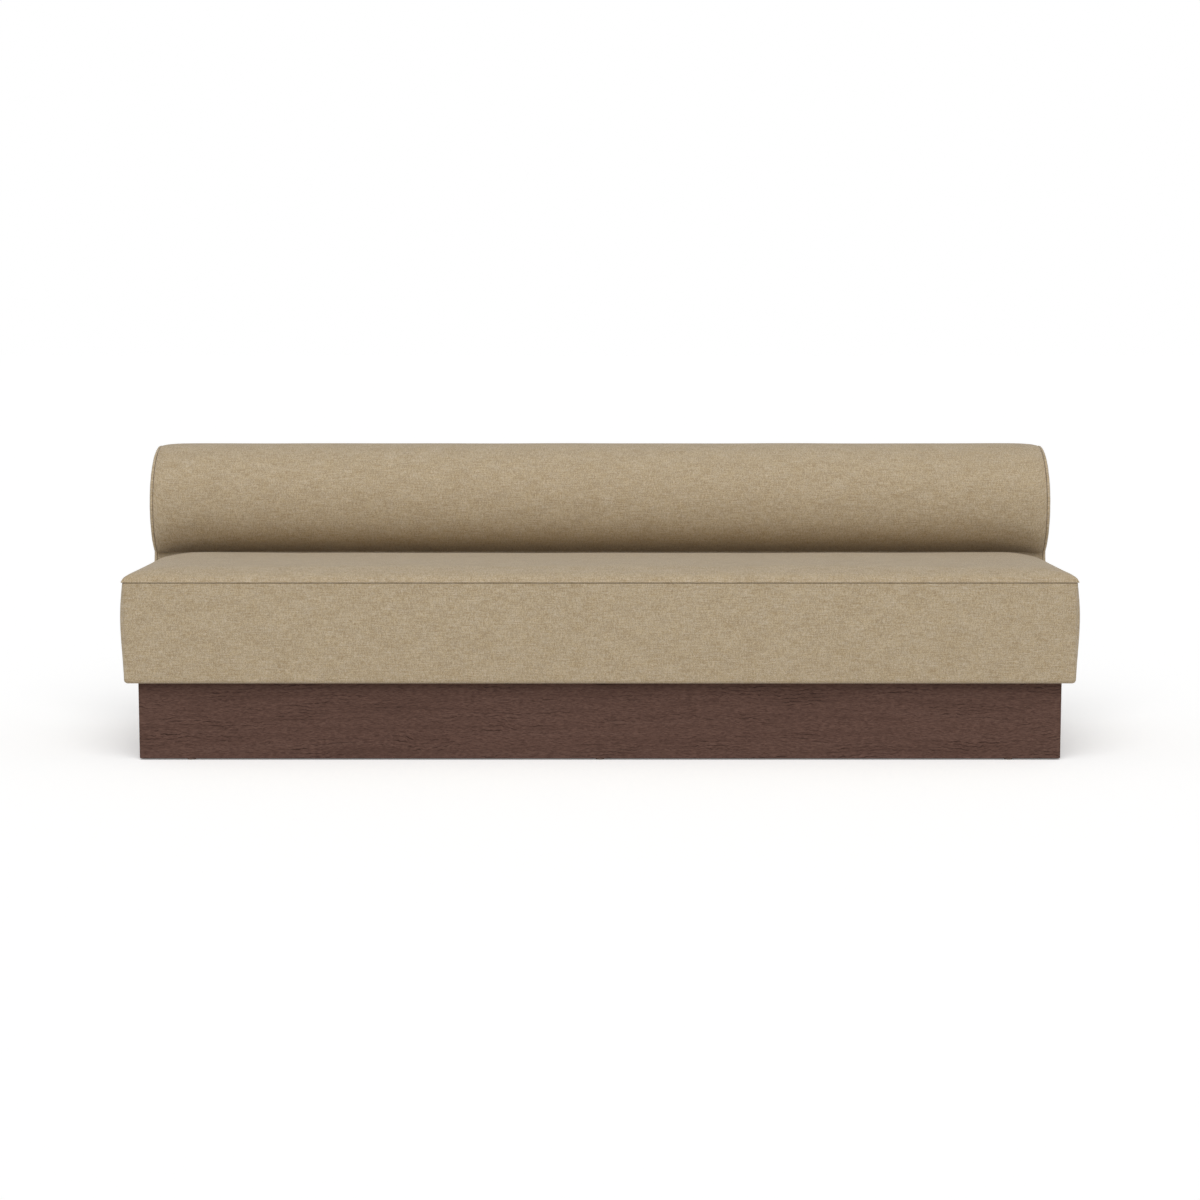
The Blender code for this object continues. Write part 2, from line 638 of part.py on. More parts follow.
def build_seat_upholstery():
    """Pads, foam core, boxing and top panel."""
    panel = add_node(
        "seat_top_panel", mapped_grid(len(SEAT_XS) - 1, len(SEAT_YS) - 1, seat_top_point), "fabric"
    )
    solidify(panel, COVER_THICKNESS)

    levels = boxing_levels()
    paths = [boxing_path(inset) for inset, height, share in levels]

    def boxing_point(i, j):
        x, y, out_x, out_y, bulge = paths[j][i]
        swell = bulge * levels[j][2]
        return (x + out_x * swell, y + out_y * swell, levels[j][1])

    boxing = add_node(
        "seat_boxing", mapped_grid(len(paths[0]) - 1, len(levels) - 1, boxing_point), "fabric"
    )
    solidify(boxing, COVER_THICKNESS)

    shape = mapped_grid(len(SEAT_XS) - 1, len(SEAT_YS) - 1, seat_foam_point)
    rim = [edge for edge in shape.edges if edge.is_boundary]
    grown = bmesh.ops.extrude_edge_only(shape, edges=rim)
    for item in grown["geom"]:
        if isinstance(item, bmesh.types.BMVert):
            item.co.z = FOAM_BOTTOM
    bottom = [edge for edge in shape.edges if edge.is_boundary]
    bmesh.ops.contextual_create(shape, geom=bottom)
    bmesh.ops.recalc_face_normals(shape, faces=shape.faces)
    add_node("seat_foam", shape, "foam")

    pad_bottom = SEAT_UNDERSIDE + SEAT_BOTTOM_RADIUS
    pad_top = FOAM_BOTTOM - FIT_GAP
    pad_x = HALF_WIDTH - SEAT_CORNER_RADIUS - UNDER_COVER
    add_node(
        "seat_front_pad",
        box(
            (-pad_x, FRONT_Y + UNDER_COVER, pad_bottom),
            (pad_x, FRONT_Y + UNDER_COVER + RAIL_PAD, pad_top),
        ),
        "foam",
    )
    side_front = FRONT_Y + RAIL_INSET
    side_rear = SEAT_REAR_Y - SEAT_CORNER_RADIUS - UNDER_COVER
    outer = HALF_WIDTH - UNDER_COVER
    add_node(
        "seat_left_pad",
        box((-outer, side_front, pad_bottom), (-outer + RAIL_PAD, side_rear, pad_top)),
        "foam",
    )
    add_node(
        "seat_right_pad",
        box((outer - RAIL_PAD, side_front, pad_bottom), (outer, side_rear, pad_top)),
        "foam",
    )


# Back

def back_outline(inset, draw, front_foot, rear_foot):
    """Section (y, z) of the back, moved in by an inset: up its neck, round the roll and down the rear.

    The roll and the rear are drawn in further by draw; the neck, which the seat presses, is not.
    """
    neck = NECK_Y + inset
    rear = REAR_Y - inset - draw
    radius = ROLL_RADIUS - inset - draw
    under_radius = UNDER_RADIUS - inset - draw
    rear_radius = rear - ROLL_Y
    crease = math.pi + math.acos((UNDER_Y - neck) / under_radius)
    turn = math.pi + UNDER_START
    outline = [(neck, front_foot)]
    for step in range(UNDER_STEPS):
        angle = crease + (turn - crease) * step / UNDER_STEPS
        outline.append((UNDER_Y + under_radius * math.cos(angle), UNDER_Z + under_radius * math.sin(angle)))
    for step in range(ROLL_STEPS + 1):
        angle = turn + (math.pi / 2 - turn) * step / ROLL_STEPS
        outline.append((ROLL_Y + radius * math.cos(angle), ROLL_Z + radius * math.sin(angle)))
    for step in range(1, REAR_STEPS + 1):
        angle = math.pi / 2 * (1.0 - step / REAR_STEPS)
        y = ROLL_Y + rear_radius * math.cos(angle)
        z = ROLL_Z + radius - rear_radius + rear_radius * math.sin(angle)
        outline.append((y, z))
    outline.append((rear, rear_foot))
    return outline


def end_draw(x):
    """How far the padding is drawn in at a place along the back."""
    return END_DRAW * math.exp(-(HALF_WIDTH - abs(x)) / END_DRAW_LENGTH)


def back_layer(name, kind, outer, inner, feet, stations):
    """One layer of the back, bent over the layer beneath it.

    Each surface is (inset, share of the draw at the ends), and feet are the heights of the layer's two edges.
    """
    rings = []
    for x in stations:
        outside = back_outline(outer[0], outer[1] * end_draw(x), *feet)
        inside = back_outline(inner[0], inner[1] * end_draw(x), *feet)
        rings.append(outside + inside[::-1])
    count = len(rings[0])

    def point(i, j):
        y, z = rings[j][i % count]
        return (stations[j], y, z)

    shape = mapped_grid(count, len(stations) - 1, point)
    bmesh.ops.remove_doubles(shape, verts=shape.verts, dist=MERGE)
    for end in (stations[0], stations[-1]):
        rim = [
            edge for edge in shape.edges
            if edge.is_boundary and abs(edge.verts[0].co.x - end) < NEAR
        ]
        bmesh.ops.contextual_create(shape, geom=rim)
    bmesh.ops.recalc_face_normals(shape, faces=shape.faces)
    return add_node(name, shape, kind)


def rib_places():
    """Middles of the ribs along the sofa."""
    end = HALF_WIDTH - FIT_GAP - RIB_THICKNESS / 2
    return [-end + 2 * end * index / (RIB_COUNT - 1) for index in range(RIB_COUNT)]


def build_back_frame():
    """Base board, front rail, spine and the ribs that lap over it."""
    end = HALF_WIDTH - FIT_GAP
    add_node(
        "back_base_board",
        box((-end, NECK_Y + UNDER_COVER, FRAME_BOTTOM), (end, REAR_Y - RIB_INSET, BASE_TOP)),
        "plywood",
    )
    rail_front = NECK_Y + UNDER_COVER
    rail_rear = NECK_Y + RIB_INSET - FIT_GAP
    rail = add_node(
        "back_front_rail",
        box((-end, rail_front, RIB_FOOT), (end, rail_rear, FRONT_RAIL_TOP)),
        "pine",
    )
    cut(
        rail,
        bolt_cutter("back_rail_holes", rail_front - RAIL_THICKNESS, rail_front + BOLT_GRIP + BOLT_CLEARANCE),
    )

    spine_front = ROLL_Y - SPINE_THICKNESS / 2
    spine_rear = ROLL_Y + SPINE_THICKNESS / 2
    spine = add_node(
        "back_spine", box((-end, spine_front, RIB_FOOT), (end, spine_rear, SPINE_TOP)), "plywood"
    )
    slot_half = RIB_THICKNESS / 2 + FIT_GAP
    for number, place in enumerate(rib_places(), start=1):
        slot = box(
            (place - slot_half, spine_front - SPINE_THICKNESS, LAP_HEIGHT - FIT_GAP / 2),
            (place + slot_half, spine_rear + SPINE_THICKNESS, SPINE_TOP + SPINE_THICKNESS),
        )
        cut(spine, add_cutter(f"spine_slot_{number}", slot))

    rib_slot = add_cutter(
        "rib_slot",
        box(
            (-SEAT_WIDTH, spine_front - FIT_GAP, SEAT_UNDERSIDE),
            (SEAT_WIDTH, spine_rear + FIT_GAP, LAP_HEIGHT + FIT_GAP / 2),
        ),
    )
    hole = bmesh.new()
    bmesh.ops.create_cone(
        hole, cap_ends=True, segments=24, radius1=RIB_HOLE / 2, radius2=RIB_HOLE / 2, depth=2 * SEAT_WIDTH
    )
    bmesh.ops.rotate(hole, matrix=Matrix.Rotation(math.pi / 2, 3, "Y"), verts=hole.verts)
    hole_height = SPINE_TOP + RIB_HOLE / 2 + SPINE_THICKNESS
    bmesh.ops.translate(hole, vec=(0.0, ROLL_Y, hole_height), verts=hole.verts)
    rib_hole = add_cutter("rib_hole", hole)
    outline = back_outline(RIB_INSET, 0.0, RIB_FOOT, RIB_FOOT)
    for number, place in enumerate(rib_places(), start=1):
        rib = add_node(
            f"back_rib_{number}", plate(outline, RIB_THICKNESS), "plywood", (place, 0.0, 0.0)
        )
        cut(rib, rib_slot)
        cut(rib, rib_hole)


def build_back_upholstery():
    """Skin, foam, cover and end panels."""
    end = HALF_WIDTH - FIT_GAP
    soft_stations = crowded_places(end, 6, 5.5)
    feet = (FRONT_RAIL_TOP + FIT_GAP, FRAME_BOTTOM)
    back_layer(
        "back_skin", "plywood", (SKIN_INSET, 0.0), (SKIN_INSET + BACK_SKIN, 0.0), feet, (-end, end)
    )
    back_layer(
        "back_foam", "foam", (UNDER_COVER, 1.0), (UNDER_COVER + BACK_FOAM, 0.0), feet, soft_stations
    )
    cover_feet = (FRONT_RAIL_TOP - COVER_TUCK, SEAT_UNDERSIDE)
    back_layer(
        "back_cover", "fabric", (0.0, 1.0), (COVER_THICKNESS, 1.0), cover_feet, soft_stations
    )

    outline = back_outline(0.0, END_DRAW, SEAT_UNDERSIDE, SEAT_UNDERSIDE)
    for name, side in (("left", -1.0), ("right", 1.0)):
        shape = plate(outline, END_RIM)
        face = max(shape.faces, key=lambda item: item.calc_center_median().x)
        inset_done = 0.0
        swell_done = END_RIM
        for share in (0.12, 0.30, 0.58, 1.0):
            inset = END_EDGE * share
            swell = END_RIM + (END_BULGE - END_RIM) * math.sqrt(1.0 - (1.0 - share) ** 2)
            bmesh.ops.inset_region(
                shape,
                faces=[face],
                thickness=inset - inset_done,
                depth=swell - swell_done,
                use_even_offset=True,
            )
            inset_done = inset
            swell_done = swell
        bmesh.ops.scale(shape, vec=(side, 1.0, 1.0), verts=shape.verts)
        bmesh.ops.recalc_face_normals(shape, faces=shape.faces)
        place = (side * (HALF_WIDTH + FIT_GAP + END_RIM / 2), 0.0, 0.0)
        add_node(f"back_{name}_end_panel", shape, "fabric", place)


def build_bolts():
    """Bolts with heads inside the seat frame, screwed into the back's front rail."""
    head = BOLT_HEAD_DIAMETER / 2
    shank = BOLT_DIAMETER / 2
    start = SEAT_BACK_RAIL_Y - FIT_GAP - BOLT_HEAD_HEIGHT
    length = NECK_Y + UNDER_COVER + BOLT_GRIP - start
    outline = (
        (0.0, 0.0),
        (head - BOLT_HEAD_CHAMFER, 0.0),
        (head, BOLT_HEAD_CHAMFER),
        (head, BOLT_HEAD_HEIGHT),
        (shank, BOLT_HEAD_HEIGHT),
        (shank, length),
        (0.0, length),
    )
    for number, place in enumerate(BOLT_PLACES, start=1):
        middle = (place, start, BOLT_HEIGHT)
        add_node(f"frame_bolt_{number}", turned(outline, 16), "steel", middle, (-math.pi / 2, 0.0, 0.0))


build_plinth()
build_seat_frame()
build_seat_upholstery()
build_back_frame()
build_back_upholstery()
build_bolts()
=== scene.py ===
"""Looks of a dining sofa: a beige woven seat and rolled back on a dark stained oak plinth.

Sizes are in metres. +X runs along the sofa, its front faces -Y, +Z is up and the floor is z = 0.
"""

import logging
import math
from collections.abc import Sequence
from dataclasses import dataclass, field
from enum import Enum

import bpy
import numpy as np
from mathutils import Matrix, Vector


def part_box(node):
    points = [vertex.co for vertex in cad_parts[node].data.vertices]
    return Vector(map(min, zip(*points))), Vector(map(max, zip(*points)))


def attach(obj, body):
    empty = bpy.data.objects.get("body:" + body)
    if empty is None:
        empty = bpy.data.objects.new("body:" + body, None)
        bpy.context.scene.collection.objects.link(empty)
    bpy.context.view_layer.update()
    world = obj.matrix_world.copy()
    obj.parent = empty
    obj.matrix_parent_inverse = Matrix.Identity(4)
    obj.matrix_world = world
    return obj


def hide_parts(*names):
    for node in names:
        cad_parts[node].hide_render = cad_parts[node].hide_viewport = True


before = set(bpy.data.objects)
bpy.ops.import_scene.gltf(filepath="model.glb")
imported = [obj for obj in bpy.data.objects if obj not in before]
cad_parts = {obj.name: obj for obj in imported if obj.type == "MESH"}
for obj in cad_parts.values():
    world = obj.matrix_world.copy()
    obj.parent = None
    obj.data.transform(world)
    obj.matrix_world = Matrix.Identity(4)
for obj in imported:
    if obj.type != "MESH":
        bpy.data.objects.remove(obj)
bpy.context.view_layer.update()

LOG = logging.getLogger("dining_sofa")
BODY = "root"
WEAVE_MAP = "weave"         # a cover's own map, in metres along and across the cloth
COVER_FIT = 0.0018          # cover and its gap, between the frame's padding and the outer face
SIDE_FILL = 0.0036          # how much further the seat's sides swell than their node
SEAM_OUT = 0.0025           # the back's end seams outside the wrap's node
ROLL_LIFT = 0.0008          # top of the roll above its node
FOOT_RISE = 0.0850          # foot of the back's cover above its front rail's
END_EASE = 0.0013           # how much less the end panels swell than their nodes
MERGE_DISTANCE = 0.00005    # points of a cover that lie closer than this are one
CRISP_ANGLE = 60.0          # edges of a cover sharper than this stay crisp, in degrees
NECK_POINTS = 40            # points up the neck of the back's section
NEAR_EDGE = 0.00001         # how close a point on an edge lies to it
SEAM_WAVES = ((0.50, 0.031, 1.3), (0.30, 0.047, 0.4), (0.20, 0.083, 2.1))   # strength, length and phase
WHITE = (1.0, 1.0, 1.0, 1.0)

Colour = tuple[float, float, float]


class Slot(Enum):
    """Material slots of the record for the new pieces; the script names them but gives them to no piece."""

    FABRIC = "fabric"
    DUST_CLOTH = "dust_cloth"


class GrainWay(Enum):
    """Way that a board's grain runs, as the turn about Z that brings it to X."""

    ALONG = 0.0
    ACROSS = math.pi / 2


# Mesh work


def activate(piece: bpy.types.Object) -> None:
    """Select one piece alone and make it active.

    Args:
        piece: the object.
    """
    bpy.ops.object.select_all(action="DESELECT")
    piece.select_set(True)
    bpy.context.view_layer.objects.active = piece


def read_points(piece: bpy.types.Object) -> np.ndarray:
    """Read a mesh's points.

    Args:
        piece: the mesh object.

    Returns:
        One row of x, y and z for each point.
    """
    points = np.empty(len(piece.data.vertices) * 3, dtype=np.float32)
    piece.data.vertices.foreach_get("co", points)
    return points.reshape(-1, 3).astype(float)


def write_points(piece: bpy.types.Object, points: np.ndarray) -> None:
    """Move a mesh's points to the given places."""
    piece.data.vertices.foreach_set("co", points.astype(np.float32).ravel())
    piece.data.update()


def read_normals(piece: bpy.types.Object) -> np.ndarray:
    """Read the normals at a mesh's points.

    Args:
        piece: the mesh object.

    Returns:
        One row of x, y and z for each point.
    """
    normals = np.empty(len(piece.data.vertices) * 3, dtype=np.float32)
    piece.data.vertex_normals.foreach_get("vector", normals)
    return normals.reshape(-1, 3).astype(float)


def write_places(piece: bpy.types.Object, places: np.ndarray) -> None:
    """Write a piece's weave map.

    Args:
        piece: the mesh object.
        places: where each point lies on the flat cloth, in metres.
    """
    corners = np.empty(len(piece.data.loops), dtype=np.int32)
    piece.data.loops.foreach_get("vertex_index", corners)
    weave = piece.data.uv_layers.get(WEAVE_MAP) or piece.data.uv_layers.new(name=WEAVE_MAP)
    weave.uv.foreach_set("vector", places[corners].astype(np.float32).ravel())


def measured_places(points: np.ndarray) -> np.ndarray:
    """Measure a sheet along its rows and columns, from its middle.

    Args:
        points: the sheet's points, rows by columns by 3.

    Returns:
        Where each point lies on the flat cloth, rows by columns by 2.
    """
    across = np.cumsum(np.linalg.norm(np.diff(points, axis=1), axis=2), axis=1)
    along = np.cumsum(np.linalg.norm(np.diff(points, axis=0), axis=2), axis=0)
    across = np.pad(across, ((0, 0), (1, 0)))
    along = np.pad(along, ((1, 0), (0, 0)))
    return np.stack([across - across[:, -1:] / 2, along - along[-1:] / 2], axis=2)


def lay_sheet(name: str, points: np.ndarray, places: np.ndarray) -> bpy.types.Object:
    """Lay out a sheet of quads from a grid primitive.

    Args:
        name: the piece's name.
        points: the sheet's points, rows by columns by 3.
        places: where each point lies on the flat cloth, rows by columns by 2, in metres.

    Returns:
        The sheet, with its weave map, and with its points in the order of rows, then columns.
    """
    rows, columns = points.shape[0] - 1, points.shape[1] - 1
    bpy.ops.object.select_all(action="DESELECT")
    bpy.ops.mesh.primitive_grid_add(x_subdivisions=columns, y_subdivisions=rows, size=2.0)
    sheet = bpy.context.active_object
    sheet.name = name
    sheet.data.name = name
    flat = read_points(sheet)
    column = np.rint((flat[:, 0] + 1.0) / 2 * columns).astype(int)
    row = np.rint((flat[:, 1] + 1.0) / 2 * rows).astype(int)
    write_points(sheet, points[row, column])
    for layer in list(sheet.data.uv_layers):
        sheet.data.uv_layers.remove(layer)
    write_places(sheet, places[row, column])
    return sheet


def apply_modifier(piece: bpy.types.Object, kind: str, **settings: object) -> None:
    """Add a modifier to a piece and apply it.

    Args:
        piece: the mesh object.
        kind: the modifier's type, as Blender names it.
        settings: its properties.
    """
    activate(piece)
    modifier = piece.modifiers.new(kind.lower(), kind)
    for name, value in settings.items():
        setattr(modifier, name, value)
    bpy.ops.object.modifier_apply(modifier=modifier.name)


def turn_outwards(piece: bpy.types.Object, inside: Vector) -> None:
    """Flip a sheet's faces if they look inwards.

    Args:
        piece: the sheet.
        inside: a point inside the sofa.
    """
    facing = 0.0
    for face in piece.data.polygons:
        facing += face.area * face.normal.dot(face.center - inside)
    if facing < 0.0:
        activate(piece)
        bpy.ops.object.mode_set(mode="EDIT")
        bpy.ops.mesh.select_all(action="SELECT")
        bpy.ops.mesh.flip_normals()
        bpy.ops.object.mode_set(mode="OBJECT")


def extrude_rim(piece: bpy.types.Object) -> tuple[np.ndarray, np.ndarray]:
    """Extrude the open rim of a sheet in place.

    Args:
        piece: the sheet.

    Returns:
        The indices of the new rim's points, and for each the index of the point that it grew from.
    """
    old = read_points(piece)
    activate(piece)
    bpy.ops.object.mode_set(mode="EDIT")
    bpy.ops.mesh.select_mode(type="VERT")
    bpy.ops.mesh.select_all(action="DESELECT")
    bpy.ops.mesh.select_non_manifold(
        extend=False, use_wire=False, use_boundary=True,
        use_multi_face=False, use_non_contiguous=False, use_verts=False,
    )
    bpy.ops.mesh.extrude_edges_move()
    bpy.ops.object.mode_set(mode="OBJECT")
    found = {tuple(place): index for index, place in enumerate(old.round(7).tolist())}
    points = read_points(piece)
    grown = np.arange(len(old), len(points))
    sources = np.array([found[tuple(place)] for place in points[grown].round(7).tolist()])
    return grown, sources


def shade(piece: bpy.types.Object, angle: float) -> None:
    """Shade a piece smooth, with edges sharper than an angle in degrees left crisp."""
    activate(piece)
    bpy.ops.object.shade_smooth_by_angle(angle=math.radians(angle))


def graded(half: float, first: float, growth: float, largest: float, start: float = 0.0) -> np.ndarray:
    """Distances from an edge to the middle, close together at the edge.

    Args:
        half: the distance to the middle.
        first: the first step.
        growth: how much each step grows on the one before.
        largest: the longest step.
        start: the first distance.

    Returns:
        The distances, from start to half.
    """
    distances = [start]
    step = first
    while distances[-1] < half:
        distances.append(distances[-1] + step)
        step = min(step * growth, largest)
    stretch = (half - start) / (distances[-1] - start)
    return start + (np.array(distances) - start) * stretch


def both_ways(half: float, distances: np.ndarray) -> np.ndarray:
    """Places from -half to +half at the given distances from both ends."""
    left = -half + distances
    return np.concatenate([left, -left[-2::-1]])


def path_lengths(points: np.ndarray) -> np.ndarray:
    """Length along a line of points, at each of them."""
    steps = np.linalg.norm(np.diff(points, axis=0), axis=1)
    return np.concatenate([[0.0], np.cumsum(steps)])


def along_path(points: np.ndarray, lengths: np.ndarray) -> np.ndarray:
    """Points at given lengths along a line of points."""
    whole = path_lengths(points)
    return np.stack([np.interp(lengths, whole, axis) for axis in points.T], axis=1)


def arc(centre: Sequence[float], radius: float, first: float, last: float, steps: int) -> np.ndarray:
    """Points of an arc in a plane.

    Args:
        centre: its centre.
        radius: its radius.
        first: its first angle, in radians.
        last: its last angle, in radians.
        steps: how many parts it has.

    Returns:
        One row of two coordinates for each point.
    """
    angles = np.linspace(first, last, steps + 1)
    return np.stack([centre[0] + radius * np.cos(angles), centre[1] + radius * np.sin(angles)], axis=1)


def gathers(along: np.ndarray) -> np.ndarray:
    """Uneven small waves that a seam gathers in the cloth.

    Args:
        along: places along the seam, in metres.

    Returns:
        The waves at those places, from -1 to 1.
    """
    waves = sum(
        strength * np.sin(math.tau * along / length + phase)
        for strength, length, phase in SEAM_WAVES
    )
    return waves * (0.62 + 0.38 * np.sin(math.tau * along / 0.61 + 0.7))


def settle(x: np.ndarray, y: np.ndarray, least: float) -> np.ndarray:
    """Slow unevenness of a filling over its surface.

    Args:
        x: places along the surface, in metres.
        y: places across it.
        least: the fullness where it is flattest.

    Returns:
        The fullness at each place, up to 1.
    """
    waves = np.sin(math.tau * (x / 0.53 + 0.21 * np.sin(math.tau * y / 0.37)))
    waves += 0.7 * np.sin(math.tau * (x / 0.29 + y / 0.61) + 1.1)
    waves += 0.5 * np.sin(math.tau * (y / 0.23 - x / 0.47) + 2.3)
    return least + (1.0 - least) * (0.5 + waves / 4.4)


@dataclass(frozen=True)
class Stuffing:
    """How the filling blows a cover out between its seams.

    Attributes:
        pressure: the filling's push on the cover.
        frames: the steps that the cover is given to settle.
        reach: the furthest that a point of the cover may move, in metres.
    """

    pressure: float = 4.0
    frames: int = 20
    reach: float = 0.004

    def swell(self, piece: bpy.types.Object, held: np.ndarray, fullness: np.ndarray) -> None:
        """Let the filling push a cover out while its sewn edges stay.

        Args:
            piece: the cover, an open sheet whose faces point out.
            held: for each point, 1 where the cover is sewn down and 0 where it is free.
            fullness: for each point, the share of the push and of the reach that it gets.
        """
        before = read_points(piece)
        for name, weights in (("held", held), ("fullness", fullness)):
            group = piece.vertex_groups.new(name=name)
            for index, weight in enumerate(weights.tolist()):
                group.add([index], weight, "REPLACE")
        activate(piece)
        cloth = piece.modifiers.new("cloth", "CLOTH")
        cloth.settings.quality = 4
        cloth.settings.mass = 0.3
        cloth.settings.tension_stiffness = 20.0
        cloth.settings.compression_stiffness = 20.0
        cloth.settings.shear_stiffness = 8.0
        cloth.settings.bending_stiffness = 1.5
        cloth.settings.vertex_group_mass = "held"
        cloth.settings.use_pressure = True
        cloth.settings.uniform_pressure_force = self.pressure
        cloth.settings.vertex_group_pressure = "fullness"
        cloth.settings.effector_weights.gravity = 0.0
        cloth.collision_settings.use_collision = False
        cloth.point_cache.frame_start = 1
        cloth.point_cache.frame_end = self.frames
        scene = bpy.context.scene
        for number in range(1, self.frames + 1):
            scene.frame_set(number)
        bpy.ops.object.modifier_apply(modifier=cloth.name)
        scene.frame_set(1)
        piece.vertex_groups.clear()
        moves = read_points(piece) - before
        lengths = np.linalg.norm(moves, axis=1)
        limits = np.maximum(self.reach * fullness, 1e-6)
        shares = limits * np.tanh(lengths / limits) / np.maximum(lengths, 1e-9)
        write_points(piece, before + moves * shares[:, None])
        pushed, kept = lengths.max() * 1000, (lengths * shares).max() * 1000
        LOG.info("%s: pushed out by up to %.1f mm, kept %.1f mm", piece.name, pushed, kept)


def sew(piece: bpy.types.Object, along: np.ndarray, away: np.ndarray, depth: float, reach: float) -> None:
    """Gather the cloth of a cover beside a seam.

    Args:
        piece: the cover.
        along: for each point, its place along the nearest seam.
        away: for each point, its distance from that seam.
        depth: the depth of the gathers.
        reach: how far from the seam they die out.
    """
    rise = depth * gathers(along) * np.exp(-away / reach) * (1.0 - np.exp(-away / (0.3 * reach)))
    write_points(piece, read_points(piece) + read_normals(piece) * rise[:, None])


def finish_cover(piece: bpy.types.Object, cover: float, inside: Vector) -> None:
    """Round a cover off and give its cloth a thickness, on the inner side.

    Args:
        piece: the cover, a sheet.
        cover: the thickness of its cloth.
        inside: a point inside the sofa.
    """
    activate(piece)
    bpy.ops.object.mode_set(mode="EDIT")
    bpy.ops.mesh.select_all(action="SELECT")
    bpy.ops.mesh.remove_doubles(threshold=MERGE_DISTANCE)
    bpy.ops.object.mode_set(mode="OBJECT")
    turn_outwards(piece, inside)
    apply_modifier(piece, "SUBSURF", levels=1, render_levels=1, boundary_smooth="PRESERVE_CORNERS")
    apply_modifier(piece, "SOLIDIFY", thickness=cover, offset=-1.0)
    shade(piece, CRISP_ANGLE)


def hand_over(
    piece: bpy.types.Object, material: bpy.types.Material, nodes: Sequence[str]
) -> bpy.types.Object:
    """Dress a finished piece and put it in the place of its nodes.

    Args:
        piece: the finished piece.
        material: its material.
        nodes: the nodes that it stands for.

    Returns:
        The piece.
    """
    piece.data.materials.clear()
    piece.data.materials.append(material)
    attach(piece, BODY)
    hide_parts(*nodes)
    LOG.info("%s: %d faces, for %s", piece.name, len(piece.data.polygons), ", ".join(nodes))
    return piece


# Finishes


